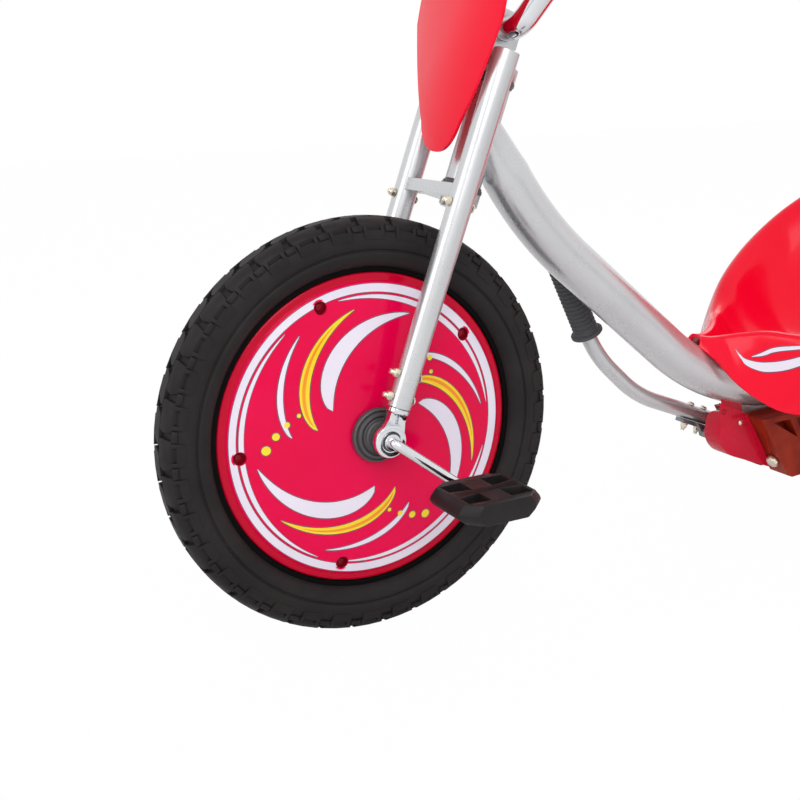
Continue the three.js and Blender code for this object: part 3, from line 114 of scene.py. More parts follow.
def wired(
    tree: bpy.types.NodeTree, kind: str, inputs: dict | None = None, **settings: object
) -> bpy.types.Node:
    """Adds a node to a tree.

    Args:
        tree: The tree.
        kind: The node's type name.
        inputs: Values or sockets by input name or index.
        settings: Properties of the node itself.

    Returns:
        The new node.
    """
    new = tree.nodes.new(kind)
    for key, value in settings.items():
        setattr(new, key, value)
    for key, value in (inputs or {}).items():
        feed(new.inputs[key], value)
    return new


class Sheet:
    """A material's nodes while they are put together."""

    def __init__(self, name: str) -> None:
        """Starts a material with a plain shader and object coordinates.

        Args:
            name: The material's name.
        """
        self.material = bpy.data.materials.new(name)
        self.material.use_nodes = True
        self.tree = self.material.node_tree
        self.shader = self.tree.nodes["Principled BSDF"]
        self.place = self.node("ShaderNodeTexCoord").outputs["Object"]

    def node(self, kind: str, inputs: dict | None = None, **settings: object) -> bpy.types.Node:
        """Adds a node to the material."""
        return wired(self.tree, kind, inputs, **settings)

    def set(self, **values: object) -> None:
        """Sets or links shader inputs; an underscore in a name stands for a space."""
        for key, value in values.items():
            feed(self.shader.inputs[key.replace("_", " ")], value)

    def noise(self, scale: float, detail: float = 3, stretch: Triple = (1, 1, 1)) -> Socket:
        """Adds noise on object coordinates.

        Args:
            scale: Features per metre.
            detail: Octaves.
            stretch: How much denser the noise is on each axis.

        Returns:
            The noise's value.
        """
        place = self.node("ShaderNodeMapping", {"Vector": self.place, "Scale": stretch}).outputs[0]
        inputs = {"Vector": place, "Scale": scale, "Detail": detail}
        return self.node("ShaderNodeTexNoise", inputs).outputs[0]

    def between(
        self, value: Socket, low: float, high: float, start: float = 0.3, end: float = 0.7
    ) -> Socket:
        """Maps a value to another range.

        Args:
            value: What is mapped.
            low: Result at the start.
            high: Result at the end.
            start: Value that gives low.
            end: Value that gives high.

        Returns:
            The mapped value.
        """
        inputs = {0: value, 1: start, 2: end, 3: low, 4: high}
        return self.node("ShaderNodeMapRange", inputs).outputs[0]

    def blend(self, share: Socket | float, first: object, second: object) -> Socket:
        """Mixes two colours.

        Args:
            share: 0 for the first, 1 for the second.
            first: A colour or a socket.
            second: A colour or a socket.

        Returns:
            The mixed colour.
        """
        mix = self.node("ShaderNodeMix", {0: share}, data_type="RGBA")
        for index, value in ((6, first), (7, second)):
            feed(mix.inputs[index], value if isinstance(value, Socket) else (*value, 1))
        return mix.outputs[2]

    def sum(self, kind: str, first: object, second: object) -> Socket:
        """Adds a maths node.

        Args:
            kind: The operation.
            first: A number or a socket.
            second: A number or a socket.

        Returns:
            The result.
        """
        return self.node("ShaderNodeMath", {0: first, 1: second}, operation=kind).outputs[0]

    def bump(self, height: Socket, depth: float) -> None:
        """Gives the surface relief.

        Args:
            height: The relief, from 0 to 1.
            depth: Its depth in metres.
        """
        inputs = {"Height": height, "Distance": depth, "Strength": 1.0}
        self.set(Normal=self.node("ShaderNodeBump", inputs).outputs[0])


@dataclass(frozen=True)
class Finish:
    """A surface finish with a base colour, a second tone and fine relief."""

    name: str
    slot: Slot
    tone: str
    second: str
    roughness: Pair
    metallic: float = 0.0
    coat: float = 0.0
    specular: float = 0.5
    patch: float = 30.0
    grain: float = 900.0
    grain_depth: float = 0.00004
    stretch: Triple = (1, 1, 1)

    def base(self, sheet: Sheet) -> object:
        """Gives the colour of the surface, with slow patches of the second tone.

        Args:
            sheet: The material being made.

        Returns:
            A colour socket.
        """
        share = sheet.between(sheet.noise(self.patch, 4), 0, 1)
        return sheet.blend(share, colour(self.tone), colour(self.second))

    def relief(self, sheet: Sheet) -> Socket:
        """Gives the height of the fine grain.

        Args:
            sheet: The material being made.

        Returns:
            A height socket.
        """
        return sheet.noise(self.grain, 3, self.stretch)

    def build(self) -> bpy.types.Material:
        """Makes the material once and returns it after that.

        Returns:
            The material.
        """
        known = bpy.data.materials.get(self.name)
        if known:
            return known
        sheet = Sheet(self.name)
        smudge = sheet.noise(self.patch * 1.7, 5)
        sheet.set(
            Base_Color=self.base(sheet),
            Metallic=self.metallic,
            Roughness=sheet.between(smudge, *self.roughness),
            Coat_Weight=self.coat,
            Coat_Roughness=0.06,
            Specular_IOR_Level=self.specular,
        )
        sheet.bump(self.relief(sheet), self.grain_depth)
        return sheet.material


@dataclass(frozen=True)
class CoverFinish(Finish):
    """Gloss plastic with painted shade: a darker colour in the sunk band along its rim."""

    # painted shade: the darker red that stands for the shade in the sunk rim band
    rim_shade_tone: str = "c4002c"
    rim_start: float = 0.1432
    rim_end: float = 0.1445

    def base(self, sheet: Sheet) -> object:
        """Adds the painted shade of the sunk rim band to the plain colour.

        Args:
            sheet: The material being made.

        Returns:
            A colour socket.
        """
        plain = super().base(sheet)
        centre = tuple(-c * MM for c in WHEEL.translation)
        local = sheet.node("ShaderNodeMapping", {"Vector": sheet.place, "Location": centre})
        flat = sheet.node("ShaderNodeMapping", {"Vector": local.outputs[0], "Scale": (1, 0, 1)})
        reach = sheet.node("ShaderNodeVectorMath", {0: flat.outputs[0]}, operation="LENGTH")
        # Painted shade: the sunk band along the rim takes the darker shade tone.
        band = sheet.between(reach.outputs["Value"], 0, 1, self.rim_start, self.rim_end)
        return sheet.blend(band, plain, colour(self.rim_shade_tone))


@dataclass(frozen=True)
class CastFinish(Finish):
    """Moulded plastic with an orange peel of small cells over its grain."""

    cells: float = 260.0

    def relief(self, sheet: Sheet) -> Socket:
        """Adds shallow cells to the grain.

        Args:
            sheet: The material being made.

        Returns:
            A height socket.
        """
        cell = sheet.node("ShaderNodeTexVoronoi", {"Vector": sheet.place, "Scale": self.cells})
        return sheet.sum("ADD", super().relief(sheet), cell.outputs["Distance"])


SILVER = Finish(
    "silver_paint", Slot.SILVER, "c6c7ca", "cecfd1", (0.24, 0.32), metallic=0.7,
    coat=0.2, patch=9, grain=2600, grain_depth=0.000004,
)
CHROME = Finish(
    "chrome_plate", Slot.CHROME, "e2e4e7", "d6d9dd", (0.05, 0.1), metallic=1.0,
    grain=500, grain_depth=0.000004,
)
ZINC = Finish(
    "pale_zinc", Slot.ZINC, "dcd2bb", "ece6d8", (0.2, 0.34), metallic=0.9, patch=160,
    grain=1200, grain_depth=0.00002,
)
TYRE = CastFinish(
    "tyre_rubber", Slot.TYRE, "1b1819", "262223", (0.5, 0.66), specular=0.2, patch=22,
    grain_depth=0.00003,
)
GRIP = CastFinish("grip_rubber", Slot.GRIP, "0f0e0f", "171617", (0.45, 0.6), specular=0.22, patch=60)
BLACK = Finish(
    "black_plastic", Slot.BLACK, "090809", "100f10", (0.22, 0.4), specular=0.3,
    coat=0.05, patch=50, grain=1400, grain_depth=0.00002,
)
PEDAL = CastFinish(
    "pedal_plastic", Slot.BLACK, "171314", "1f1a1b", (0.4, 0.55), specular=0.25,
    patch=45, grain_depth=0.00003,
)
# Painted shade: a darker copy of the black plastic for the rim, whose lip lies in the tyre's shade.
SHADED_RIM = Finish(
    "rim_shaded_plastic", Slot.BLACK, "050505", "080707", (0.5, 0.65), specular=0.06, patch=50,
    grain=1400, grain_depth=0.00002,
)
COVER = CoverFinish(
    "cover_plastic", Slot.COVER, "df0042", "ea004c", (0.1, 0.2), specular=0.13,
    coat=0.05, patch=7, grain=420, grain_depth=0.000006,
)
# Painted shade: a dark red for the screw recesses, the screws in them and the bracket's hole, where shade
# falls.
RECESS_SHADE = Finish("recess_shade_plastic", Slot.COVER, "7c0016", "93001b", (0.25, 0.4), specular=0.2, patch=80)
STRIPE = Finish(
    "stripe_film", Slot.COVER, "e4dcec", "ece6f2", (0.15, 0.25), specular=0.3, patch=12,
    grain=700, grain_depth=0.000006,
)
EDGE = Finish("stripe_edge_film", Slot.COVER, "5e4458", "6c5164", (0.25, 0.35), specular=0.25, patch=40)
YELLOW = Finish(
    "yellow_film", Slot.COVER, "f5cf10", "fbdc3c", (0.15, 0.25), specular=0.3, patch=25,
    grain=700, grain_depth=0.000006,
)
ORANGE = Finish("orange_film", Slot.COVER, "f08a1c", "f5a02c", (0.15, 0.25), specular=0.3, patch=25)
SEAT = Finish(
    "seat_plastic", Slot.SEAT, "ee0028", "f60030", (0.14, 0.22), specular=0.16, coat=0.1,
    patch=6, grain=380, grain_depth=0.000008,
)
BRACKET = Finish(
    "bracket_paint", Slot.BRACKET, "be0c2a", "cc1134", (0.18, 0.3), specular=0.16,
    coat=0.08, patch=25, grain=600, grain_depth=0.00001,
)
TRUCK = CastFinish(
    "truck_plastic", Slot.TRUCK, "7e1c0c", "9c2e14", (0.3, 0.46), specular=0.15,
    patch=40, cells=180, grain_depth=0.00006,
)
SPARK = Finish(
    "worn_steel", Slot.SPARK, "8d8f92", "6f7073", (0.35, 0.6), metallic=0.9, patch=70,
    grain=900, stretch=(1, 8, 1),
)


# Shapes


class Form:
    """A surface in millimetres while it is being shaped."""

    def __init__(self, points: Iterable[Vector] = (), faces: Iterable[Sequence[int]] = ()) -> None:
        """Takes the corners and the faces between them.

        Args:
            points: Corners.
            faces: Corner numbers of each face.
        """
        self.points = [Vector(p) for p in points]
        self.faces = [tuple(f) for f in faces]

    def add(self, other: "Form", matrix: Matrix | None = None) -> "Form":
        """Adds a copy of another form.

        Args:
            other: What is added.
            matrix: Where its copy goes.

        Returns:
            This form.
        """
        start = len(self.points)
        self.points += [(matrix @ p if matrix else p.copy()) for p in other.points]
        self.faces += [tuple(i + start for i in f) for f in other.faces]
        return self

    def moved(self, matrix: Matrix) -> "Form":
        """Gives a moved copy."""
        return Form().add(self, matrix)

    @staticmethod
    def grid(rows: Sequence[Sequence[Vector]], round_rows: bool, round_columns: bool) -> "Form":
        """Joins rows of points with quads.

        Args:
            rows: Rows of equal length.
            round_rows: The last row meets the first.
            round_columns: The last column meets the first.

        Returns:
            The joined surface.
        """
        count, width = len(rows), len(rows[0])
        faces = []
        for i in range(count if round_rows else count - 1):
            for k in range(width if round_columns else width - 1):
                a, b = i * width, ((i + 1) % count) * width
                faces.append((a + k, b + k, b + (k + 1) % width, a + (k + 1) % width))
        return Form([p for row in rows for p in row], faces)

    @staticmethod
    def closed(rows: Sequence[Sequence[Vector]]) -> "Form":
        """Joins rings of points and closes both ends.

        Args:
            rows: Rings of equal length.

        Returns:
            The closed form.
        """
        form, n = Form.grid(rows, False, True), len(rows[0])
        last = n * (len(rows) - 1)
        form.faces += [tuple(range(n)), tuple(last + k for k in reversed(range(n)))]
        return form

    @staticmethod
    def lathe(profile: Sequence[Pair], steps: int = 64) -> "Form":
        """Turns a profile round the Y axis; one that starts off the axis is closed to a ring.

        Args:
            profile: Radius and place along the axis.
            steps: Sides of the circle.

        Returns:
            The turned surface.
        """
        rows = []
        for i in range(steps):
            a = math.tau * i / steps
            rows.append([Vector((r * math.cos(a), y, r * math.sin(a))) for r, y in profile])
        return Form.grid(rows, True, profile[0][0] > 0)

    @staticmethod
    def post(radius: float, start: float, end: float, steps: int = 32) -> "Form":
        """Makes a cylinder along the Y axis."""
        return Form.lathe([(0, start), (radius, start), (radius, end), (0, end)], steps)

    @staticmethod
    def sweep(path: Sequence[Vector], radius: float | Sequence[float], steps: int = 32) -> "Form":
        """Runs a circle along a path and closes its ends.

        Args:
            path: Points of the centre line.
            radius: One radius, or one for each point.
            steps: Sides of the circle.

        Returns:
            The closed tube.
        """
        radii = [radius] * len(path) if isinstance(radius, (int, float)) else list(radius)
        rows, side = [], None
        for i, p in enumerate(path):
            along = (path[min(i + 1, len(path) - 1)] - path[max(i - 1, 0)]).normalized()
            if side is None:
                side = along.orthogonal()
            side = (side - along * side.dot(along)).normalized()
            other = along.cross(side)
            ring = [math.tau * k / steps for k in range(steps)]
            rows.append([p + (side * math.cos(a) + other * math.sin(a)) * radii[i] for a in ring])
        return Form.closed(rows)

    @staticmethod
    def plate(outline: Sequence[Pair], start: float, end: float) -> "Form":
        """Gives a side outline a width.

        Args:
            outline: X and z of each corner.
            start: Lowest y.
            end: Highest y.

        Returns:
            The closed plate.
        """
        n = len(outline)
        points = [Vector((x, y, z)) for y in (start, end) for x, z in outline]
        faces = [(i, (i + 1) % n, n + (i + 1) % n, n + i) for i in range(n)]
        return Form(points, faces + [tuple(reversed(range(n))), tuple(range(n, 2 * n))])

    @staticmethod
    def block(low: Sequence[float], high: Sequence[float]) -> "Form":
        """Makes a rectangular block from its two corners."""
        outline = [(low[0], low[2]), (high[0], low[2]), (high[0], high[2]), (low[0], high[2])]
        return Form.plate(outline, low[1], high[1])

    def mesh(self, name: str) -> bpy.types.Mesh:
        """Writes the form as a merged mesh in metres, facing outwards.

        Args:
            name: The mesh's name.

        Returns:
            The mesh.
        """
        data = bpy.data.meshes.new(name)
        data.from_pydata([p * MM for p in self.points], [], self.faces)
        work = bmesh.new()
        work.from_mesh(data)
        bmesh.ops.remove_doubles(work, verts=work.verts, dist=0.01 * MM)
        bmesh.ops.recalc_face_normals(work, faces=work.faces)
        work.to_mesh(data)
        work.free()
        return data


def line(
    corners: Sequence[Sequence[float]], bends: float | Sequence[float], steps: int, run: int
) -> list[Vector]:
    """Gives the centre line of a bent rod.

    Args:
        corners: Where straight runs would meet.
        bends: Bend radius at each inner corner, or one for all.
        steps: Points in a bend.
        run: Pieces of each straight run.

    Returns:
        Points from end to end.
    """
    places = [Vector(c) for c in corners]
    radii = [bends] * (len(places) - 2) if isinstance(bends, (int, float)) else list(bends)
    path = [places[0]]
    for i, radius in enumerate(radii, 1):
        into = (places[i] - places[i - 1]).normalized()
        out = (places[i + 1] - places[i]).normalized()
        turn = into.angle(out)
        start = places[i] - into * radius * math.tan(turn / 2)
        side = (out - into * math.cos(turn)).normalized()
        path += [path[-1].lerp(start, k / run) for k in range(1, run)]
        for k in range(steps + 1):
            a = turn * k / steps
            path.append(start + into * radius * math.sin(a) + side * radius * (1 - math.cos(a)))
    path += [path[-1].lerp(places[-1], k / run) for k in range(1, run + 1)]
    return path


def facing(sign: int) -> Matrix:
    """Gives the half turn that takes a left form to its side.

    Args:
        sign: 1 for the left side, -1 for the right.

    Returns:
        No turn or half a turn about the Z axis.
    """
    return Matrix.Rotation(0 if sign > 0 else math.pi, 4, "Z")


def in_metres(matrix: Matrix) -> Matrix:
    """Gives a millimetre matrix for points in metres.

    Args:
        matrix: The matrix.

    Returns:
        The same move with its shift in metres.
    """
    scaled = matrix.copy()
    scaled.translation = matrix.translation * MM
    return scaled


def turned(count: int) -> Vector:
    """Gives the turn about the Y axis from one of some even copies to the next."""
    return Vector((0, math.tau / count, 0))


def mirrored(half: Sequence[Pair]) -> list[Pair]:
    """Adds the inner half to the outer half of a profile.

    Args:
        half: Radius and distance from the middle plane.

    Returns:
        The whole ring.
    """
    return list(half) + [(r, -y) for r, y in reversed(half) if y > 0]


def about_axis(matrix: Matrix, axis: Vector) -> Matrix:
    """Turns the Y axis of a form to another direction.

    Args:
        matrix: Where the form goes.
        axis: The new direction of its Y axis.

    Returns:
        The joined matrix.
    """
    return matrix @ Vector((0, 1, 0)).rotation_difference(axis).to_matrix().to_4x4()


# Joinery


@dataclass(frozen=True)
class Fit:
    """What a finished piece is called, rides on, is made of and stands for."""

    name: str
    body: str
    finish: Finish
    replaces: tuple[str, ...] = ()
    bevel: float = 0.0
    segments: int = 2
    angle: float = 32.0
    slot: Slot | None = None


def linked(name: str, data: bpy.types.ID | None) -> Item:
    """Puts an object in the scene.

    Args:
        name: Its name.
        data: Its mesh, lamp or camera.

    Returns:
        The object.
    """
    made = bpy.data.objects.new(name, data)
    bpy.context.scene.collection.objects.link(made)
    return made


def plain(source: Item, name: str) -> Item:
    """Swaps an object for one plain mesh with its modifiers applied.

    Args:
        source: The object, which is removed.
        name: The new object's name.

    Returns:
        The new object.
    """
    graph = bpy.context.evaluated_depsgraph_get()
    data = bpy.data.meshes.new_from_object(source.evaluated_get(graph))
    bpy.data.objects.remove(source)
    data.name = name
    return linked(name, data)


def loose(form: Form, name: str) -> Item:
    """Puts a form in the scene with no body yet."""
    return linked(name, form.mesh(name))


def carve(target: Item, tools: Sequence[Form], operation: str = "DIFFERENCE") -> Item:
    """Cuts forms out of a piece, or joins them to it.

    Args:
        target: The piece.
        tools: Closed forms.
        operation: The boolean's operation.

    Returns:
        The changed piece.
    """
    name = target.name
    for tool in tools:
        other = loose(tool, "tool")
        step = target.modifiers.new("carve", "BOOLEAN")
        step.operation, step.object, step.solver = operation, other, "EXACT"
        target = plain(target, name)
        bpy.data.objects.remove(other)
    target.name = name
    return target


def fitted(target: Item, fit: Fit) -> Item:
    """Rounds a piece's edges, gives it its finish and sets it on its body.

    Args:
        target: The piece.
        fit: What it is.

    Returns:
        The finished piece.
    """
    if fit.bevel:
        step = target.modifiers.new("edges", "BEVEL")
        step.width, step.segments, step.limit_method = fit.bevel * MM, fit.segments, "ANGLE"
        step.angle_limit = math.radians(fit.angle)
    target = plain(target, fit.name)
    data = target.data
    data.materials.clear()
    data.materials.append(fit.finish.build())
    data.polygons.foreach_set("material_index", [0] * len(data.polygons))
    data.polygons.foreach_set("use_smooth", [True] * len(data.polygons))
    data.set_sharp_from_angle(angle=math.radians(fit.angle))
    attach(target, fit.body)
    if fit.replaces:
        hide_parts(*fit.replaces)
    log.info("%s: %d faces on %s", fit.name, len(data.polygons), fit.body)
    return target


def piece(form: Form, fit: Fit, place: Matrix) -> Item:
    """Finishes a form as a piece.

    Args:
        form: Its shape.
        fit: What it is.
        place: Where it goes.

    Returns:
        The finished piece.
    """
    return fitted(loose(form.moved(place), fit.name), fit)


def copied(node: str) -> Item:
    """Copies a CAD node with its corners merged and its flat faces joined.

    Args:
        node: The node's name.

    Returns:
        The copy, with no body yet.
    """
    made = linked("copy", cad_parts[node].data.copy())
    work = bmesh.new()
    work.from_mesh(made.data)
    bmesh.ops.remove_doubles(work, verts=work.verts, dist=0.01 * MM)
    bmesh.ops.dissolve_limit(work, angle_limit=math.radians(1), verts=work.verts, edges=work.edges)
    work.to_mesh(made.data)
    work.free()
    shading = made.data.attributes.get("custom_normal")
    if shading:
        made.data.attributes.remove(shading)
    return made


class Repeat:
    """A node tree that sets copies of a mesh in a row or round an axis."""

    tree: bpy.types.NodeTree | None = None
    inputs = (("Count", "Int"), ("Step", "Vector"), ("Turn", "Vector"), ("Material", "Material"))

    @classmethod
    def build(cls) -> bpy.types.NodeTree:
        """Makes the tree once and returns it after that.

        Returns:
            The tree.
        """
        if cls.tree:
            return cls.tree
        tree = cls.tree = bpy.data.node_groups.new("repeat_copies", "GeometryNodeTree")
        face = tree.interface
        face.new_socket("Geometry", in_out="INPUT", socket_type="NodeSocketGeometry")
        for name, kind in cls.inputs:
            face.new_socket(name, in_out="INPUT", socket_type=f"NodeSocket{kind}")
        face.new_socket("Geometry", in_out="OUTPUT", socket_type="NodeSocketGeometry")
        given = wired(tree, "NodeGroupInput").outputs
        index = wired(tree, "GeometryNodeInputIndex").outputs[0]
        along, spin = (
            wired(tree, "ShaderNodeVectorMath", {0: given[key], "Scale": index}, operation="SCALE").outputs[0]
            for key in ("Step", "Turn")
        )
        points = wired(tree, "GeometryNodePoints", {"Count": given["Count"], "Position": along}).outputs[0]
        inputs = {"Points": points, "Instance": given["Geometry"], "Rotation": spin}
        copies = wired(tree, "GeometryNodeInstanceOnPoints", inputs).outputs[0]
        real = wired(tree, "GeometryNodeRealizeInstances", {0: copies}).outputs[0]
        dress = wired(tree, "GeometryNodeSetMaterial", {0: real, "Material": given["Material"]}).outputs[0]
        wired(tree, "NodeGroupOutput", {0: dress})
        return tree

    @classmethod
    def run(
        cls, form: Form, fit: Fit, count: int, place: Matrix,
        step: Vector = Vector(), turn: Vector = Vector(),
    ) -> Item:
        """Repeats a form and finishes the result as one piece.

        Args:
            form: What is repeated.
            fit: What the result is.
            count: How many copies.
            place: Where the whole row goes.
            step: Shift from one copy to the next, in millimetres.
            turn: Turn from one copy to the next, in radians.

        Returns:
            The finished piece.
        """
        source = loose(form, fit.name)
        if fit.bevel:
            edges = source.modifiers.new("edges", "BEVEL")
            edges.width, edges.segments = fit.bevel * MM, fit.segments
        modifier = source.modifiers.new("repeat", "NODES")
        modifier.node_group = cls.build()
        values = {"Count": count, "Step": step * MM, "Turn": turn, "Material": fit.finish.build()}
        for item in cls.tree.interface.items_tree:
            if item.in_out == "INPUT" and item.name in values:
                modifier[item.identifier] = values[item.name]
        row = plain(source, fit.name)
        row.data.transform(in_metres(place))
        return fitted(row, replace(fit, bevel=0.0))


# Fasteners


@dataclass
class Fastener:
    """A bolt along the Y axis: its head at the low end, its nut and bare thread at the high end."""

    radius: float = 2.5
    head_radius: float = 4.6
    head_height: float = 3.0
    nut_height: float = 5.5
    tail: float = 3.5
    pitch: float = 0.8

    def dome(self, at: float, way: int) -> Form:
        """Makes a domed head with a washer under it.

        Args:
            at: Where the washer lies.
            way: 1 or -1, the way the dome points.

        Returns:
            The head.
        """
        r, h = self.head_radius, self.head_height
        washer = [(r, 0), (r, 0.7), (r * 0.86, 0.8)]
        crown = [(r * 0.84, 1.0), (r * 0.76, h * 0.7), (r * 0.5, h * 0.93), (0, h)]
        return Form.lathe([(0, at)] + [(a, at + way * b) for a, b in washer + crown], 32)

    def nut(self, at: float) -> Form:
        """Makes a hexagon nut with a nylon collar on a washer.

        Args:
            at: Where the washer lies.

        Returns:
            The nut.
        """
        r, h = self.head_radius, self.nut_height
        form = Form.post(r, at, at + 0.8)
        flank = [(r * 0.86, at + 0.8), (r * 0.95, at + 1.3), (r * 0.95, at + h * 0.66)]
        flank.append((r * 0.8, at + h * 0.76))
        form.add(Form.lathe([(0, at + 0.8), *flank, (0, at + h * 0.76)], 6))
        collar = [(r * 0.72, at + h * 0.7), (r * 0.72, at + h * 0.92), (r * 0.6, at + h)]
        return form.add(Form.lathe([(0, at + h * 0.7), *collar, (0, at + h)], 32))

    def thread(self, start: float, end: float) -> Form:
        """Makes a bare threaded end.

        Args:
            start: Its first place.
            end: Its tip.

        Returns:
            The thread.
        """
        profile, y = [(0, start)], start
        while y < end - self.pitch:
            profile += [(self.radius * 0.82, y), (self.radius, y + self.pitch / 2)]
            y += self.pitch
        return Form.lathe(profile + [(self.radius * 0.7, end), (0, end)], 20)

    def through(self, half: float) -> Form:
        """Makes a whole bolt through something.

        Args:
            half: Half the thickness that it holds.

        Returns:
            Head, nut and bare end.
        """
        face = half + GAP
        thread = self.thread(face + self.nut_height * 0.9, face + self.nut_height + self.tail)
        return self.dome(-face, -1).add(self.nut(face)).add(thread)


# Front wheel


@dataclass
class FrontTyre:
    """The pneumatic tyre: a smooth-sided carcass with blocks round it."""

    half: Sequence[Pair] = (
        (158.6, 5.0), (154.9, 5.0), (154.9, 10.6), (156.8, 11.6),
        (157.6, 14.6), (160.2, 18.2), (164, 20.9), (168, 22.3),
        (170.6, 22.6), (171.6, 22.2), (172.2, 21.2), (173.2, 21.1), (173.9, 22.2), (174.9, 23.0), (179, 23.3),
        (183.5, 22.9), (188, 21.4), (192.2, 19.4), (195.8, 16), (198.2, 11), (199.4, 5.5), (199.7, 0),
    )
    crown: Sequence[Pair] = (
        (203, 0), (202.9, 6), (202.4, 10), (201, 14),
        (198.5, 17.6), (195.4, 20.4), (191.8, 22.3), (187.6, 23.2),
        (182.6, 23.4),
    )
    hollow: Sequence[Pair] = ((186, -12), (186, 12))
    middle_block: Sequence[Triple] = (
        (-6.6, 3.2, 1.0), (-3, 4.0, 0.5), (0, 4.1, 0), (3, 4.0, -0.5), (6.6, 3.2, -1.0),
    )
    shoulder_block: Sequence[Triple] = (
        (7.6, 3.7, 0.4), (11.5, 4.15, 0.2), (14.5, 4.15, 0), (17.2, 3.95, 0), (19.6, 3.6, 0),
    )
    fin: Sequence[Pair] = ((19.4, 0.6), (21.2, 0.55), (23.2, 0.5))
    pad: Sequence[Triple] = ((22.4, 2.9, 0), (22.9, 3.0, 0), (23.3, 3.0, 0))
    low_pad: Sequence[Triple] = ((19.8, 1.5, 0), (21.0, 1.5, 0), (21.8, 1.4, 0))
    blocks: int = 36

    def height(self, across: float) -> float:
        """Gives the radius of the tread's outer face.

        Args:
            across: Distance from the middle plane.

        Returns:
            The radius there.
        """
        for (r0, y0), (r1, y1) in zip(self.crown, self.crown[1:]):
            if across <= y1:
                return r0 + (r1 - r0) * (across - y0) / (y1 - y0)
        return self.crown[-1][0]

    def lug(self, stations: Sequence[Triple], sink: float, side: int, turn: float) -> Form:
        """Makes one tread block.

        Args:
            stations: Distance from the middle plane, half its length in degrees and its shift in degrees.
            sink: How far it reaches below its outer face.
            side: 1 or -1, its side of the middle plane.
            turn: Its place round the tyre in degrees.

        Returns:
            The block.
        """
        rows = []
        for across, half, shift in stations:
            top = self.height(abs(across))
            row = []
            for radius, ends in ((top, (-1, 0, 1)), (top - sink, (1, 0, -1))):
                for end in ends:
                    a = math.radians(turn + shift + end * half)
                    row.append(Vector((radius * math.cos(a), side * across, radius * math.sin(a))))
            rows.append(row)
        return Form.closed(rows)

    def tread(self) -> Form:
        """Makes the blocks of one pitch: a middle one, and a shoulder block, fins and pads at each side.

        Returns:
            The blocks, with the middle one at no turn.
        """
        pitch = 360 / self.blocks
        form = self.lug(self.middle_block, 5, 1, 0)
        for side, turn in ((1, pitch * 0.3), (-1, pitch * 0.8)):
            form.add(self.lug(self.shoulder_block, 5, side, turn))
            for shift in (-2.6, 2.6):
                form.add(self.lug([(across, half, shift) for across, half in self.fin], 2.4, side, turn))
            form.add(self.lug(self.pad, 2.2, side, turn))
            form.add(self.lug(self.low_pad, 2.0, side, turn + pitch / 2))
        return form

    def dress(self) -> None:
        """Sets the carcass and the tread on the wheel."""
        carcass = Form.lathe(mirrored(self.half) + list(self.hollow), 180)
        piece(carcass, Fit("tyre_carcass", "front_wheel", TYRE, ("front_tyre",), angle=50), WHEEL)
        fit = Fit("tyre_tread", "front_wheel", TYRE, bevel=0.55, segments=1, angle=40)
        Repeat.run(self.tread(), fit, self.blocks, WHEEL, turn=turned(self.blocks))


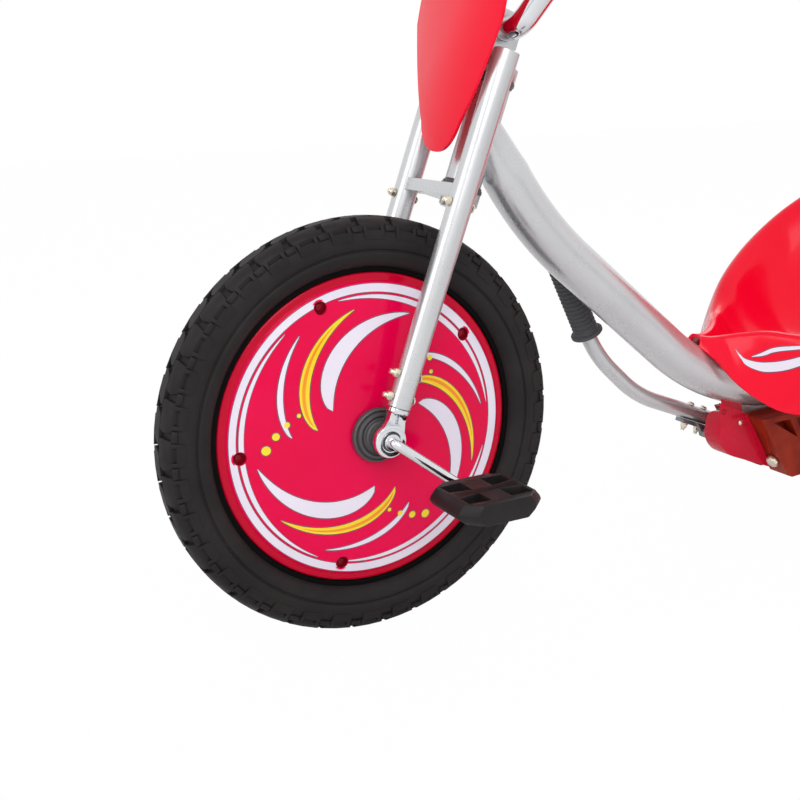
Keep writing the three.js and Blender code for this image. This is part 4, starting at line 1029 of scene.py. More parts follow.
@dataclass
class WheelCover:
    """A moulded disc cover with screw recesses, a rim stripe and swept blades."""

    radius: float = 152.0
    edge: float = 9.8
    rim_roll: Sequence[Pair] = (
        (151.6, 11.4), (150.4, 12.5), (147.4, 12.9), (144.6, 12.7), (143.7, 13.2), (143.2, 14.2),
    )
    shoulder: float = 142.75
    shoulder_offset: float = 14.6
    hub_offset: float = 30.0
    hub_hole: float = 24.0
    wall: float = 1.6
    rings: int = 26
    recess_circle: float = 132.0
    recess_radius: float = 6.2
    recess_depth: float = 5.0
    recesses: int = 5
    first_recess: float = 70.0
    blades: int = 3
    first_blade: float = 28.0
    screw_head: Sequence[Pair] = ((0, 0), (3.9, 0), (3.9, 1.2), (3.2, 1.9), (1.6, 2.1), (1.3, 1.4), (0, 1.2))
    stripe_radius: float = 141.4
    stripe_width: Triple = (4.0, 0.9, 200.0)
    stripe_edging: float = 0.6
    line_edging: float = 0.55
    line_gap: float = 2.6
    inner_lines: Sequence[Triple] = ((78, 176, 2.6), (-62, 52, 2.2), (196, 286, 2.4))
    film_lift: float = 0.12
    film_depth: float = 0.2
    edging_lift: float = 0.08
    edging: float = 0.9
    orange_lift: float = 0.16
    dots: Sequence[Triple] = ((92, 108, 4.4), (99, 99, 3.6), (106, 90, 2.8), (113, 81, 2.0))
    swept_orange: tuple[Pair, Pair, float] = ((64, -13), (112, 44), 1.5)
    swept: Sequence[tuple[str, Pair, Pair, float]] = (
        ("pale", (52, 6), (118, 84), 8.0),
        ("yellow", (60, -16), (120, 56), 4.6),
        ("pale", (84, -22), (122, 28), 2.6),
    )

    def offset(self, radius: float) -> float:
        """Gives how far the outer face stands from the middle plane at a radius."""
        share = 1 - (radius / self.shoulder) ** 2
        return self.shoulder_offset + (self.hub_offset - self.shoulder_offset) * share

    def places(self) -> list[Vector]:
        """Gives the screw recesses' middles in the cover's plane.

        Returns:
            One point for each recess.
        """
        angles = [math.radians(self.first_recess + 360 * i / self.recesses) for i in range(self.recesses)]
        r = self.recess_circle
        return [Vector((r * math.cos(a), 0, r * math.sin(a))) for a in angles]

    def posts(self, radius: float, start: float, end: float) -> Form:
        """Makes a round post at each recess.

        Args:
            radius: Radius of a post.
            start: Its inner end.
            end: Its outer end.

        Returns:
            All posts.
        """
        post = Form.post(radius, start, end)
        whole = Form()
        for place in self.places():
            whole.add(post, Matrix.Translation(place))
        return whole

    def shell(self) -> Form:
        """Turns the disc's own wall.

        Returns:
            The closed wall.
        """
        outer = [(self.radius, self.edge), *self.rim_roll]
        for i in range(self.rings + 1):
            r = self.shoulder + (self.hub_hole - self.shoulder) * i / self.rings
            outer.append((r, self.offset(r)))
        return Form.lathe(outer + [(r, y - self.wall) for r, y in reversed(outer)], 160)

    def film(self, path: Sequence[Triple], lift: float, across: int = 4, closed: bool = False) -> Form:
        """Lays a strip of film on the cover.

        Args:
            path: X, z and half width at each station.
            lift: How far its face stands off the cover.
            across: Pieces over its width.
            closed: The last station meets the first.

        Returns:
            A thin closed strip.
        """
        rows = []
        for i, (x, z, half) in enumerate(path):
            before, after = path[max(i - 1, 0)], path[min(i + 1, len(path) - 1)]
            if closed:
                before, after = path[i - 1], path[(i + 1) % len(path)]
            run = Vector((after[0] - before[0], after[1] - before[1])).normalized()
            row = []
            for k in range(across + 1):
                shift = half * (2 * k / across - 1)
                px, pz = x - run.y * shift, z + run.x * shift
                row.append(Vector((px, self.offset(math.hypot(px, pz)) + lift, pz)))
            rows.append(row + [Vector((p.x, p.y - lift - self.film_depth, p.z)) for p in reversed(row)])
        return Form.grid(rows, True, True) if closed else Form.closed(rows)

    def stripe_half(self, angle: float) -> float:
        """Gives the rim stripe's half width at an angle in degrees."""
        middle, swell, widest = self.stripe_width
        return middle + swell * math.cos(math.radians(angle - widest))

    def ring(self, radius: Law, half: Law, start: float, end: float) -> list[Triple]:
        """Gives the stations of an arc round the cover.

        Args:
            radius: Its radius at an angle in degrees.
            half: Its half width there.
            start: First angle.
            end: Last angle.

        Returns:
            X, z and half width at each station.
        """
        count = max(8, round(abs(end - start) / 2))
        stations = []
        for i in range(count + 1):
            a = start + (end - start) * i / count
            r = radius(a)
            stations.append((r * math.cos(math.radians(a)), r * math.sin(math.radians(a)), half(a)))
        return stations

    def stripes(self) -> tuple[Form, Form]:
        """Makes the pale rim stripe, its thin inner lines and their edging.

        Returns:
            The pale film and the edging.
        """
        def rim(a: float) -> float:
            """Gives the stripe's middle radius."""
            return self.stripe_radius - self.stripe_half(a)

        around = (0, 360)
        pale = self.film(self.ring(rim, self.stripe_half, *around)[:-1], self.film_lift, 6, True)
        outline = self.ring(rim, lambda a: self.stripe_half(a) + self.stripe_edging, *around)[:-1]
        edging = self.film(outline, self.edging_lift, 6, True)
        for start, end, most in self.inner_lines:
            def thin(a: float) -> float:
                """Gives the line's half width."""
                return 0.1 + most * math.sin(math.pi * (a - start) / (end - start)) ** 0.7

            def within(a: float) -> float:
                """Gives the line's middle radius."""
                return self.stripe_radius - 2 * self.stripe_half(a) - self.line_gap - thin(a)

            pale.add(self.film(self.ring(within, thin, start, end), self.film_lift))
            outline = self.ring(within, lambda a: thin(a) + self.line_edging, start, end)
            edging.add(self.film(outline, self.edging_lift))
        return pale, edging

    def blade(self, turn: float, start: Pair, end: Pair, most: float, extra: float = 0.0) -> list[Triple]:
        """Gives the stations of one swept blade.

        Args:
            turn: Turn of the blade in degrees.
            start: Radius and angle of its root.
            end: Radius and angle of its tip.
            most: Its greatest half width.
            extra: Added to its half width all along.

        Returns:
            X, z and half width at each station.
        """
        stations = []
        for i in range(33):
            t = i / 32
            r = start[0] + (end[0] - start[0]) * t**0.8
            a = math.radians(turn + start[1] + (end[1] - start[1]) * t)
            half = 0.15 + extra + most * math.sin(math.pi * t**0.7) ** 0.8
            stations.append((r * math.cos(a), r * math.sin(a), half))
        return stations

    def motif(self) -> dict[str, Form]:
        """Makes the generic swept blades and dots between hub and stripe.

        Returns:
            The films by the name of their colour.
        """
        forms = {name: Form() for name in ("pale", "edge", "yellow", "orange")}
        for i in range(self.blades):
            turn = self.first_blade + 360 * i / self.blades
            for key, start, end, most in self.swept:
                outline = self.blade(turn, start, end, most, self.edging)
                forms["edge"].add(self.film(outline, self.edging_lift))
                forms[key].add(self.film(self.blade(turn, start, end, most), self.film_lift))
            forms["orange"].add(self.film(self.blade(turn, *self.swept_orange), self.orange_lift))
            for angle, r, half in self.dots:
                a = math.radians(turn + angle)
                x, z = r * math.cos(a), r * math.sin(a)
                shades = (("edge", half + self.edging, self.edging_lift), ("yellow", half, self.film_lift))
                for key, size, lift in shades:
                    turns = [math.pi * j / 10 for j in range(11)]
                    dot = [(x - size * math.cos(b), z, max(0.05, size * math.sin(b))) for b in turns]
                    forms[key].add(self.film(dot, lift))
        return forms

    def screw(self) -> Form:
        """Makes the painted shade of a recess: a dark lining, with a cross-headed screw in it.

        Returns:
            Lining and screw at the first recess.
        """
        top = self.offset(self.recess_circle)
        floor = top - self.recess_depth
        r = self.recess_radius
        low, high = floor + 0.05, floor + 0.35
        wall = [(r - 0.05, low), (r - 0.05, top - 0.7), (r - 0.35, top - 1.0), (r - 0.6, high)]
        lining = Form.lathe([(0, low), *wall, (0, high)], 32)
        head = Form.lathe([(radius, floor + rise) for radius, rise in self.screw_head], 24)
        return lining.add(head).moved(Matrix.Translation(self.places()[0]))

    def dress(self) -> None:
        """Sets both covers on the wheel."""
        top = self.offset(self.recess_circle)
        floor = top - self.recess_depth - self.wall
        pale, edging = self.stripes()
        forms = self.motif()
        for side, sign in SIDES:
            place = WHEEL @ facing(sign)
            disc = loose(self.shell().moved(place), "disc")
            cups = self.posts(self.recess_radius + self.wall, floor, top - self.wall * 0.6)
            disc = carve(disc, [cups.moved(place)], "UNION")
            disc = carve(disc, [self.posts(self.recess_radius, floor + self.wall, top + 4).moved(place)])
            fit = Fit(f"cover_disc_{side}", "front_wheel", COVER, (f"wheel_cover_{side}",), angle=36)
            fitted(disc, fit)
            # The dark recess finish on linings and screws is painted shade.
            fit = Fit(f"cover_screws_{side}", "front_wheel", RECESS_SHADE, angle=40)
            Repeat.run(self.screw(), fit, self.recesses, place, turn=turned(self.recesses))
            for name, form, finish in (
                ("stripe", pale, STRIPE), ("stripe_edge", edging, EDGE),
                ("blades_pale", forms["pale"], STRIPE), ("blades_edge", forms["edge"], EDGE),
                ("blades_yellow", forms["yellow"], YELLOW),
                ("blades_orange", forms["orange"], ORANGE),
            ):
                film = self.drilled(form, place, f"{name}_{side}")
                fitted(film, Fit(f"cover_{name}_{side}", "front_wheel", finish, angle=60))

    def drilled(self, form: Form, place: Matrix, name: str) -> Item:
        """Puts a film in the scene with the screw recesses cut out of it.

        Args:
            form: The film.
            place: Where the cover is.
            name: The film's name.

        Returns:
            The film's object.
        """
        film = loose(form.moved(place), name)
        if not name.startswith("stripe"):
            return film
        top = self.offset(self.recess_circle)
        return carve(film, [self.posts(self.recess_radius + 0.4, top - 3, top + 4).moved(place)])


@dataclass
class WheelCore:
    """Rim, hub and the one-piece crank of the front wheel."""

    rim: Sequence[Pair] = (
        (143.5, 3.2), (154.5, 5.7), (154.5, 11), (158, 11),
        (158.6, 11.6), (158.6, 12.9), (158, 13.5), (152.9, 13.5),
        (152.3, 12.9), (152.3, 8.2), (141, 5.2), (141, 1.5), (16.3, 1.5),
    )
    hub: Sequence[Pair] = (
        (16, 30.3), (26.1, 30.3), (26.5, 30.9), (26.5, 34.2), (25.9, 35.6),
        (24.9, 36.3), (24.1, 36.1), (23.8, 34.9), (22.7, 34.7),
        (22.3, 36.9), (21.5, 38.1), (19.7, 38.3), (19.1, 37.8),
        (18.8, 36.2), (17.7, 36.0), (17.4, 37.6), (16.6, 38.3),
        (14.6, 38.3), (13.4, 39.4), (13, 41), (13, 46.2), (12.2, 47.1), (5.3, 47.1),
    )
    rod_radius: float = 5.0
    reach: float = 75.4
    droop: float = math.radians(38.5)
    arm_start: float = 69.0
    arm_end: float = 80.0
    bend: float = 8.0
    pin_end: float = 156.0
    collar: Sequence[Pair] = ((0, 61.8), (7.6, 61.8), (7.9, 62.2), (7.9, 63.6), (7.6, 64), (0, 64))

    def pin(self, sign: int) -> Vector:
        """Gives where a pedal's pin crosses the side plane."""
        reach = -sign * self.reach
        return Vector((reach * math.cos(self.droop), 0, reach * math.sin(self.droop)))

    def crank(self) -> Form:
        """Bends the rod from pedal to pedal.

        Returns:
            The rod with its two collars.
        """
        corners = []
        for sign in (-1, 1):
            p = self.pin(sign)
            side = [(p.x, sign * y, p.z) for y in (self.pin_end, self.arm_end)]
            side.append((0, sign * self.arm_start, 0))
            corners += side if sign < 0 else side[::-1]
        path = line(corners, self.bend, 8, 3)
        rod = Form.sweep(path, self.rod_radius, 32)
        for sign in (-1, 1):
            rod.add(Form.lathe(self.collar, 40).moved(facing(sign)))
        return rod

    def dress(self) -> None:
        """Sets rim, hub and crank on the wheel."""
        # The rim's darker black finish is painted shade.
        for name, half, node, finish, steps in (
            ("wheel_rim", self.rim, "front_rim", SHADED_RIM, 128), ("wheel_hub", self.hub, "front_hub", BLACK, 72),
        ):
            form = Form.lathe(mirrored(half), steps)
            piece(form, Fit(name, "front_wheel", finish, (node,), angle=40), WHEEL)
        piece(self.crank(), Fit("crank_rod", "front_wheel", CHROME, ("crank",), angle=50), WHEEL)


@dataclass
class Pedal:
    """A moulded pedal block with drafted sides and four windows round its middle band."""

    core: WheelCore
    width: float = 76.0
    outer_wall: float = 9.0
    levels: Sequence[Pair] = (
        (-10, 33.5), (-9.5, 35.0), (-4, 41.2), (0, 43.4), (3.5, 42.0), (9.5, 37.2), (10, 36.0),
    )
    edge_round: float = 0.35
    edge_level: float = 9.7
    slope: float = 0.02
    corner: float = 13.0
    start: float = 92.0
    bore: float = 5.35
    window_rows: Sequence[Triple] = ((7.5, 32.5, 3), (43.5, 68.5, -3))
    rib_low: Triple = (-31, 37.3, 9.2)
    rib_high: Triple = (31, 38.7, 10)
    rib_pitch: float = 2.6
    ribs: int = 4
    window_near: float = 10.8
    window_far: float = 32.5

    def body(self) -> Form:
        """Lofts the outline over the block's height.

        Returns:
            The block without its windows.
        """
        rows = []
        for z, half in self.levels:
            draft = self.edge_round * (abs(z) > self.edge_level) + self.slope * abs(z)
            y0, y1, c = draft, self.width - draft, self.corner
            side = [(half - c, y0), (half, y0 + c * 0.8), (half, y1 - c), (half - c, y1)]
            outline = side[1:] + [(-x, y) for x, y in reversed(side)] + side[:1]
            rows.append([Vector((x, y, z)) for x, y in outline])
        return Form.closed(rows)

    def windows(self) -> list[Form]:
        """Makes the tools that open the windows: wide outside, narrow near the pin.

        Returns:
            Four closed tools.
        """
        tools = []
        for sx in (-1, 1):
            for y0, y1, lean in self.window_rows:
                near, far = sx * self.window_near, sx * self.window_far
                low, high = (y0 + lean, y1) if lean > 0 else (y0, y1 + lean)
                shape = [(near, low), (far, y0 + 4), (far, y1 - 4), (near, high)]
                points = [Vector((x, y, z)) for z in (-20, 20) for x, y in shape]
                walls = [(i, (i + 1) % 4, 4 + (i + 1) % 4, 4 + i) for i in range(4)]
                tools.append(Form(points, walls + [(3, 2, 1, 0), (4, 5, 6, 7)]))
        return tools

    def dress(self) -> None:
        """Sets both pedals on their pins."""
        end = self.width - self.outer_wall
        bore = Form.post(self.bore, -6, end)
        for side, sign in SIDES:
            pin = self.core.pin(sign)
            place = WHEEL @ Matrix.Translation((pin.x, sign * self.start, pin.z)) @ facing(sign)
            block = loose(self.body().moved(place), "block")
            block = carve(block, [tool.moved(place) for tool in self.windows()] + [bore.moved(place)])
            body = f"pedal_{side}"
            fitted(block, Fit(f"pedal_block_{side}", body, PEDAL, (body,), bevel=0.7, angle=30))
            rib = Form.block(self.rib_low, self.rib_high)
            fit = Fit(f"pedal_ribs_{side}", body, PEDAL, bevel=0.25, segments=1)
            first = place @ Matrix.Translation((0, -self.rib_pitch * (self.ribs - 1) / 2, 0))
            Repeat.run(rib, fit, self.ribs, first, step=Vector((0, self.rib_pitch, 0)))


# Fork and steering


@dataclass
class Fork:
    """Legs, dropouts, crowns and their fasteners, drawn upright and leaned with the fork."""

    half_spacing: float = 55.0
    foot_radius: float = 11.0
    top_radius: float = 12.5
    leg_start: float = 32.0
    leg_end: float = 371.0
    leg_wall: float = 1.6
    eye_radius: float = 16.0
    eye_bore: float = 8.8
    eye_width: float = 12.0
    crown_screws: float = 226.5
    bush: Sequence[Pair] = (
        (5.35, -7.4), (9.4, -7.4), (9.6, -7.0), (9.6, -6.4),
        (8.45, -6.2), (8.45, 5.4), (7.9, 5.9), (6.9, 5.9), (6.7, 5.1),
        (5.35, 5.1),
    )
    foot_bolts: Sequence[float] = (41.0, 63.0)
    collar: Sequence[Pair] = ((0, 26.4), (9.6, 26.4), (10.9, 27.6), (10.9, 31.4), (0, 31.4))
    neck: Sequence[Pair] = ((8.6, 20), (11.5, 9.5))
    neck_share: float = 0.82
    cheek_slot: Sequence[Pair] = ((-1.6, 17.4), (1.9, 16.8), (3.3, 25.6), (-0.4, 25.9))

    def leg_radius(self, height: float) -> float:
        """Gives the radius of a leg at a height."""
        share = (height - self.leg_start) / (self.leg_end - self.leg_start)
        return self.foot_radius + (self.top_radius - self.foot_radius) * share

    def bolt_spot(self, sign: int, height: float) -> Matrix:
        """Gives the place of a bolt from front to back through a leg.

        Args:
            sign: Sign of the leg's y.
            height: The bolt's height on the leg.

        Returns:
            Its matrix.
        """
        place = FORK @ Matrix.Translation((0, sign * self.half_spacing, height))
        return about_axis(place, Vector((1, 0, 0)))

    def leg(self) -> Form:
        """Turns one tapered leg with a rolled foot and a top cap.

        Returns:
            The leg, upright at the origin.
        """
        s, e = self.leg_start, self.leg_end
        r0, r1 = self.foot_radius, self.top_radius
        profile = [(r0 - self.leg_wall, s), (r0 - 0.5, s), (r0, s + 0.5)]
        heights = [s + (e - s) * i / 12 for i in range(1, 12)]
        profile += [(self.leg_radius(height), height) for height in heights]
        profile += [(r1, e - 0.6), (r1 - 0.6, e), (r1 - self.leg_wall, e)]
        profile += [(r1 - self.leg_wall, e - 3), (r0 - self.leg_wall, s + 3)]
        return Form.lathe(profile, 56).moved(UPRIGHT)

    def eye(self) -> Item:
        """Shapes one forged eye with its slotted shank, at the fork's middle.

        Returns:
            The eye, with no body yet.
        """
        r, b, w = self.eye_radius, self.eye_bore, self.eye_width / 2
        half = [(r, w - 2), (r - 0.7, w - 0.6), (r - 2.2, w), (b + 0.5, w), (b, w - 0.5)]
        ring = Form.lathe(mirrored(half), 64)
        target = loose(ring.moved(FORK), "eye")
        right = [(8.4, self.leg_start - 1), *self.neck]
        neck = [(-x, z) for x, z in reversed(right)] + right
        cheeks = Form.plate(neck, -w * self.neck_share, w * self.neck_share)
        collar = Form.lathe(self.collar, 48).moved(UPRIGHT)
        target = carve(target, [cheeks.moved(FORK), collar.moved(FORK)], "UNION")
        clear = Form.post(b, -20, 20, 64)
        slots = Form()
        for start, end in ((-9, -1.6), (1.6, 9)):
            slots.add(Form.plate(self.cheek_slot, start, end))
        return carve(target, [clear.moved(FORK), slots.moved(FORK)])

    def dress(self) -> None:
        """Sets every piece of the fork on the steering body."""
        for side, sign in SIDES:
            shift = Matrix.Translation((0, sign * self.half_spacing, 0)) @ facing(sign)
            place = FORK @ shift
            fit = Fit(f"fork_tube_{side}", "steering", SILVER, (f"fork_leg_{side}",), angle=40)
            piece(self.leg(), fit, place)
            eye = self.eye()
            eye.data.transform(in_metres(FORK @ shift @ FORK.inverted()))
            fit = Fit(f"fork_eye_{side}", "steering", CHROME, (f"dropout_{side}",), bevel=0.5, angle=34)
            fitted(eye, fit)
            fit = Fit(f"eye_bush_{side}", "steering", BLACK, (f"dropout_bush_{side}",))
            piece(Form.lathe(self.bush, 48), fit, place)
            for height, name in zip(self.foot_bolts, ("lower", "upper")):
                form = Fastener().through(self.leg_radius(height))
                fit = Fit(f"eye_bolt_{side}_{name}", "steering", ZINC, (f"dropout_bolt_{side}_{name}",))
                piece(form, fit, self.bolt_spot(sign, height))
            form = Fastener(tail=1.5).through(self.leg_radius(self.crown_screws))
            spot = self.bolt_spot(sign, self.crown_screws)
            piece(form, Fit(f"crown_screw_{side}", "steering", ZINC, (f"crown_bolt_{side}",)), spot)
        for node, name in (("lower_crown", "crown_low"), ("upper_crown", "crown_high")):
            fitted(copied(node), Fit(name, "steering", SILVER, (node,), bevel=1.4, segments=3))


@dataclass
class Headset:
    """Head tube, cups, steerer and locknut on the steering axis."""

    offset: float = 28.0
    pipe: Sequence[Pair] = ((15, 252.1), (17.5, 252.1), (18, 252.7), (18, 347.9), (17.5, 348.5), (15, 348.5))
    low_cup: Sequence[Pair] = (
        (12.8, 244.8), (19.6, 244.8), (20.4, 245.8), (20.4, 248.6),
        (19.4, 249.4), (19.4, 250.6), (18.4, 251.8), (12.8, 251.8),
    )
    high_cup: Sequence[Pair] = (
        (12.8, 348.8), (18.4, 348.8), (19.4, 350), (19.4, 351.2),
        (20.4, 352), (20.4, 354.8), (19.6, 355.7), (12.8, 355.7),
    )
    steerer: Sequence[Pair] = (
        (0, 226.3), (14.8, 226.3), (16.6, 228), (17, 229.6),
        (17, 231.6), (16.4, 232.2), (12.5, 232.2), (12.5, 380.2),
        (11.7, 381), (9.6, 381), (9.2, 378), (0, 378),
    )
    nut: Sequence[Pair] = ((12.8, 368.3), (15.2, 368.3), (16, 369), (16, 376.4), (15.2, 377.2), (12.8, 377.2))

    def dress(self) -> None:
        """Sets the turned parts on their bodies."""
        spot = FORK @ Matrix.Translation((-self.offset, 0, 0)) @ UPRIGHT
        for name, node, body, finish, profile in (
            ("head_pipe", "head_tube", "frame", SILVER, self.pipe),
            ("cup_low", "headset_cup_lower", "frame", BLACK, self.low_cup),
            ("cup_high", "headset_cup_upper", "frame", BLACK, self.high_cup),
            ("steerer", "steerer_tube", "steering", SILVER, self.steerer),
        ):
            piece(Form.lathe(profile, 56), Fit(name, body, finish, (node,)), spot)
        fit = Fit("axis_locknut", "steering", CHROME, ("headset_locknut",), bevel=0.6)
        piece(Form.lathe(self.nut, 6), fit, spot)


@dataclass
class Handlebar:
    """Bent bar with its brace, clamps, ribbed grips and the red front plate."""

    radius: float = 11.1
    height: float = 392.0
    flat: float = 64.0
    rise: float = 136.0
    rise_width: float = 168.0
    half_span: float = 316.0
    sweep: float = 52.0
    upsweep: float = 10.0
    bend: float = 32.0
    brace_radius: float = 8.0
    brace_height: float = 470.0
    grip_radius: float = 15.5
    grip_length: float = 112.0
    plate_height: float = 196.0
    plate_half: float = 78.0
    plate_narrow: float = 58.0
    plate_tip: float = 271.0
    plate_lean: float = math.radians(8)
    plate_ahead: float = 9.0
    boss_radius: float = 9.0
    grip_flange: float = 20.0
    grip_past: float = 4.3
    clamp_screw: Triple = (15.6, 32.0, 409.4)

    def corners(self) -> list[Triple]:
        """Gives the corners of the bar's centre line from right to left.

        Returns:
            The corners.
        """
        top = self.height + self.rise
        end = (-self.sweep, -self.half_span, top + self.upsweep)
        side = [end, (0, -self.rise_width, top), (0, -self.flat, self.height)]
        return side + [(x, -y, z) for x, y, z in reversed(side)]

    def plate(self) -> Form:
        """Draws the front plate: a rounded V that widens to a shield.

        Returns:
            The plate on the fork's own axes.
        """
        h, w, n = self.plate_height, self.plate_half, self.plate_narrow
        spans = (
            ((0, 0), (n * 0.45, 0), (n * 0.62, h * 0.14)),
            ((n * 0.62, h * 0.14), (n, h * 0.31), (w, h * 0.62)),
            ((w, h * 0.62), (w * 1.02, h * 0.92), (w * 0.8, h * 0.97)),
            ((w * 0.8, h * 0.97), (w * 0.42, h * 1.018), (0, h * 1.018)),
        )
        half = []
        for a, b, c in spans:
            for i in range(10):
                t = i / 10
                shares = ((1 - t) ** 2, 2 * t * (1 - t), t * t)
                half.append(tuple(shares[0] * a[k] + shares[1] * b[k] + shares[2] * c[k] for k in (0, 1)))
        outline = half + [(0, h * 1.018)] + [(-x, z) for x, z in reversed(half[1:])]
        form = Form.plate(outline, 0, 3)
        spin = Matrix.Rotation(self.plate_lean, 4, "Y") @ Matrix.Rotation(-math.pi / 2, 4, "Z")
        return form.moved(Matrix.Translation((self.plate_ahead, 0, self.plate_tip)) @ spin)

    def grip(self, side: str, sign: int) -> None:
        """Sets a grip with its ribs on one end of the bar.

        Args:
            side: Name of the side.
            sign: Sign of its y.
        """
        top = self.height + self.rise
        end = Vector((-self.sweep, sign * self.half_span, top + self.upsweep))
        back = Vector((0, sign * self.rise_width, top))
        along = (end - back).normalized()
        start = end + along * (self.grip_past - self.grip_length)
        place = FORK @ about_axis(Matrix.Translation(start), along)
        sleeve = Grip(self.grip_radius, self.grip_flange, self.grip_length, self.radius)
        sleeve.dress(f"bar_grip_{side}", "steering", f"grip_{side}", place)

    def dress(self) -> None:
        """Sets the handlebar on the steering body."""
        path = line(self.corners(), self.bend, 14, 3)
        fit = Fit("bar_tube", "steering", CHROME, ("handlebar",), angle=50)
        piece(Form.sweep(path, self.radius, 40), fit, FORK)
        reach = self.flat + (self.rise_width - self.flat) * (self.brace_height - self.height) / self.rise
        ends = [Vector((0, y, self.brace_height)) for y in (-reach, reach)]
        fit = Fit("bar_brace", "steering", CHROME, ("handlebar_brace",), angle=50)
        piece(Form.sweep(ends, self.brace_radius, 32), fit, FORK)
        plate = loose(self.plate().moved(FORK), "plate")
        bosses = Form()
        for height in (self.height, self.brace_height):
            ahead = self.plate_ahead + math.tan(self.plate_lean) * (height - self.plate_tip) + 1.5
            boss = Form.post(self.boss_radius, 9.5, ahead)
            bosses.add(boss, about_axis(Matrix.Translation((0, 0, height)), Vector((1, 0, 0))))
        plate = carve(plate, [bosses.moved(FORK)], "UNION")
        fitted(plate, Fit("front_plate", "steering", SEAT, ("number_plate",), bevel=0.8))
        for side, sign in SIDES:
            self.grip(side, sign)
            fit = Fit(f"bar_clamp_{side}", "steering", SILVER, (f"handlebar_clamp_{side}",), bevel=1.0)
            fitted(copied(f"handlebar_clamp_{side}"), fit)
            ahead, aside, up = self.clamp_screw
            head = Fastener().dome(up, 1)
            spot = FORK @ Matrix.Translation((ahead, sign * aside, 0)) @ UPRIGHT
            piece(head, Fit(f"clamp_screw_{side}", "steering", ZINC, (f"clamp_bolt_{side}",)), spot)


@dataclass
class Grip:
    """A rubber grip along the Y axis, from its flange to its closed end."""

    radius: float
    flange: float
    length: float
    bore: float
    pitch: float = 4.0
    rib_start: float = 11.0
    groove: float = 1.1

    def dress(self, name: str, body: str, node: str, place: Matrix) -> None:
        """Sets the sleeve and its ribs on a bar end.

        Args:
            name: The sleeve's name.
            body: The body that it rides on.
            node: The CAD node that it stands for.
            place: Where its flange is.
        """
        core, r, n = self.radius - self.groove, self.radius, self.length
        inner, flange = self.bore + GAP, self.flange
        profile = [(inner, 0), (flange - 0.8, 0), (flange, 0.8), (flange, 3.2), (flange - 0.8, 4)]
        profile += [(r + 0.6, 4.3), (r, 6.5), (core, 8), (core, n - 9), (r, n - 8), (r, n - 3)]
        profile += [(r - 1, n - 1), (r - 3.5, n), (0, n), (0, n - 4), (inner, n - 4)]
        piece(Form.lathe(profile, 56), Fit(name, body, GRIP, (node,), angle=36), place)
        low, high = core - 0.4, core + 0.3
        rib = Form.lathe([(low, -1.2), (high, -1.1), (r, -0.6), (r, 0.6), (high, 1.1), (low, 1.2)], 48)
        count = int((n - 2 * self.rib_start) / self.pitch)
        turn = place.to_3x3().to_4x4()
        step = place.to_3x3() @ Vector((0, self.pitch, 0))
        fit = Fit(f"{name}_ribs", body, GRIP, angle=36)
        first = Matrix.Translation(place @ Vector((0, self.rib_start, 0)))
        Repeat.run(rib.moved(turn), fit, count, first, step=step)


# Frame


@dataclass
class MainTube:
    """The bent main tube with its weld beads and end plug."""

    radius: float = 24.0
    corners: Sequence[Pair] = ((-138.6, 482.5), (-189.6, 387.7), (-450.4, 165), (-640, 165))
    bends: Sequence[float] = (380.0, 285.0)
    neck: float = 17.0
    taper: float = 55.0
    plug: Sequence[Pair] = ((0, -14), (21, -14), (21.4, 0.3), (24, 0.3), (24, 1.6), (22.6, 3.1), (0, 3.4))

    def dress(self) -> None:
        """Sets the tube and its plug on the frame."""
        corners = [(x, 0, z) for x, z in self.corners]
        path = line(corners, self.bends, 28, 4)
        slope = (self.radius - self.neck) / self.taper
        radii = [min(self.radius, self.neck + slope * (p - path[0]).length) for p in path]
        fit = Fit("frame_tube", "frame", SILVER, ("main_tube",), angle=50)
        piece(Form.sweep(path, radii, 64), fit, DESIGN)
        spot = DESIGN @ about_axis(Matrix.Translation(corners[-1]), Vector((-1, 0, 0)))
        piece(Form.lathe(self.plug, 56), Fit("frame_plug", "frame", BLACK, ("tube_plug",)), spot)


@dataclass
class Spline:
    """A smooth line through guide points with chordal spacing."""

    points: Sequence[Vector]

    def at(self, share: float) -> Vector:
        """Gives the point at a share of the line.

        Args:
            share: 0 at the first guide point, 1 at the last.

        Returns:
            The point.
        """
        p, n = self.points, len(self.points)
        where = share * (n - 1)
        i = min(int(where), n - 2)
        t = where - i
        before = p[i - 1] if i > 0 else p[0] * 2 - p[1]
        after = p[i + 2] if i + 2 < n else p[n - 1] * 2 - p[n - 2]
        d0, d1, d2 = ((a - b).length for a, b in ((before, p[i]), (p[i], p[i + 1]), (p[i + 1], after)))
        v1 = ((p[i] - before) / d0 - (p[i + 1] - before) / (d0 + d1) + (p[i + 1] - p[i]) / d1) * d1
        v2 = ((p[i + 1] - p[i]) / d1 - (after - p[i]) / (d1 + d2) + (after - p[i + 1]) / d2) * d1
        a = p[i] * 2 - p[i + 1] * 2 + v1 + v2
        b = p[i + 1] * 3 - p[i] * 3 - v1 * 2 - v2
        return ((a * t + b) * t + v1) * t + p[i]


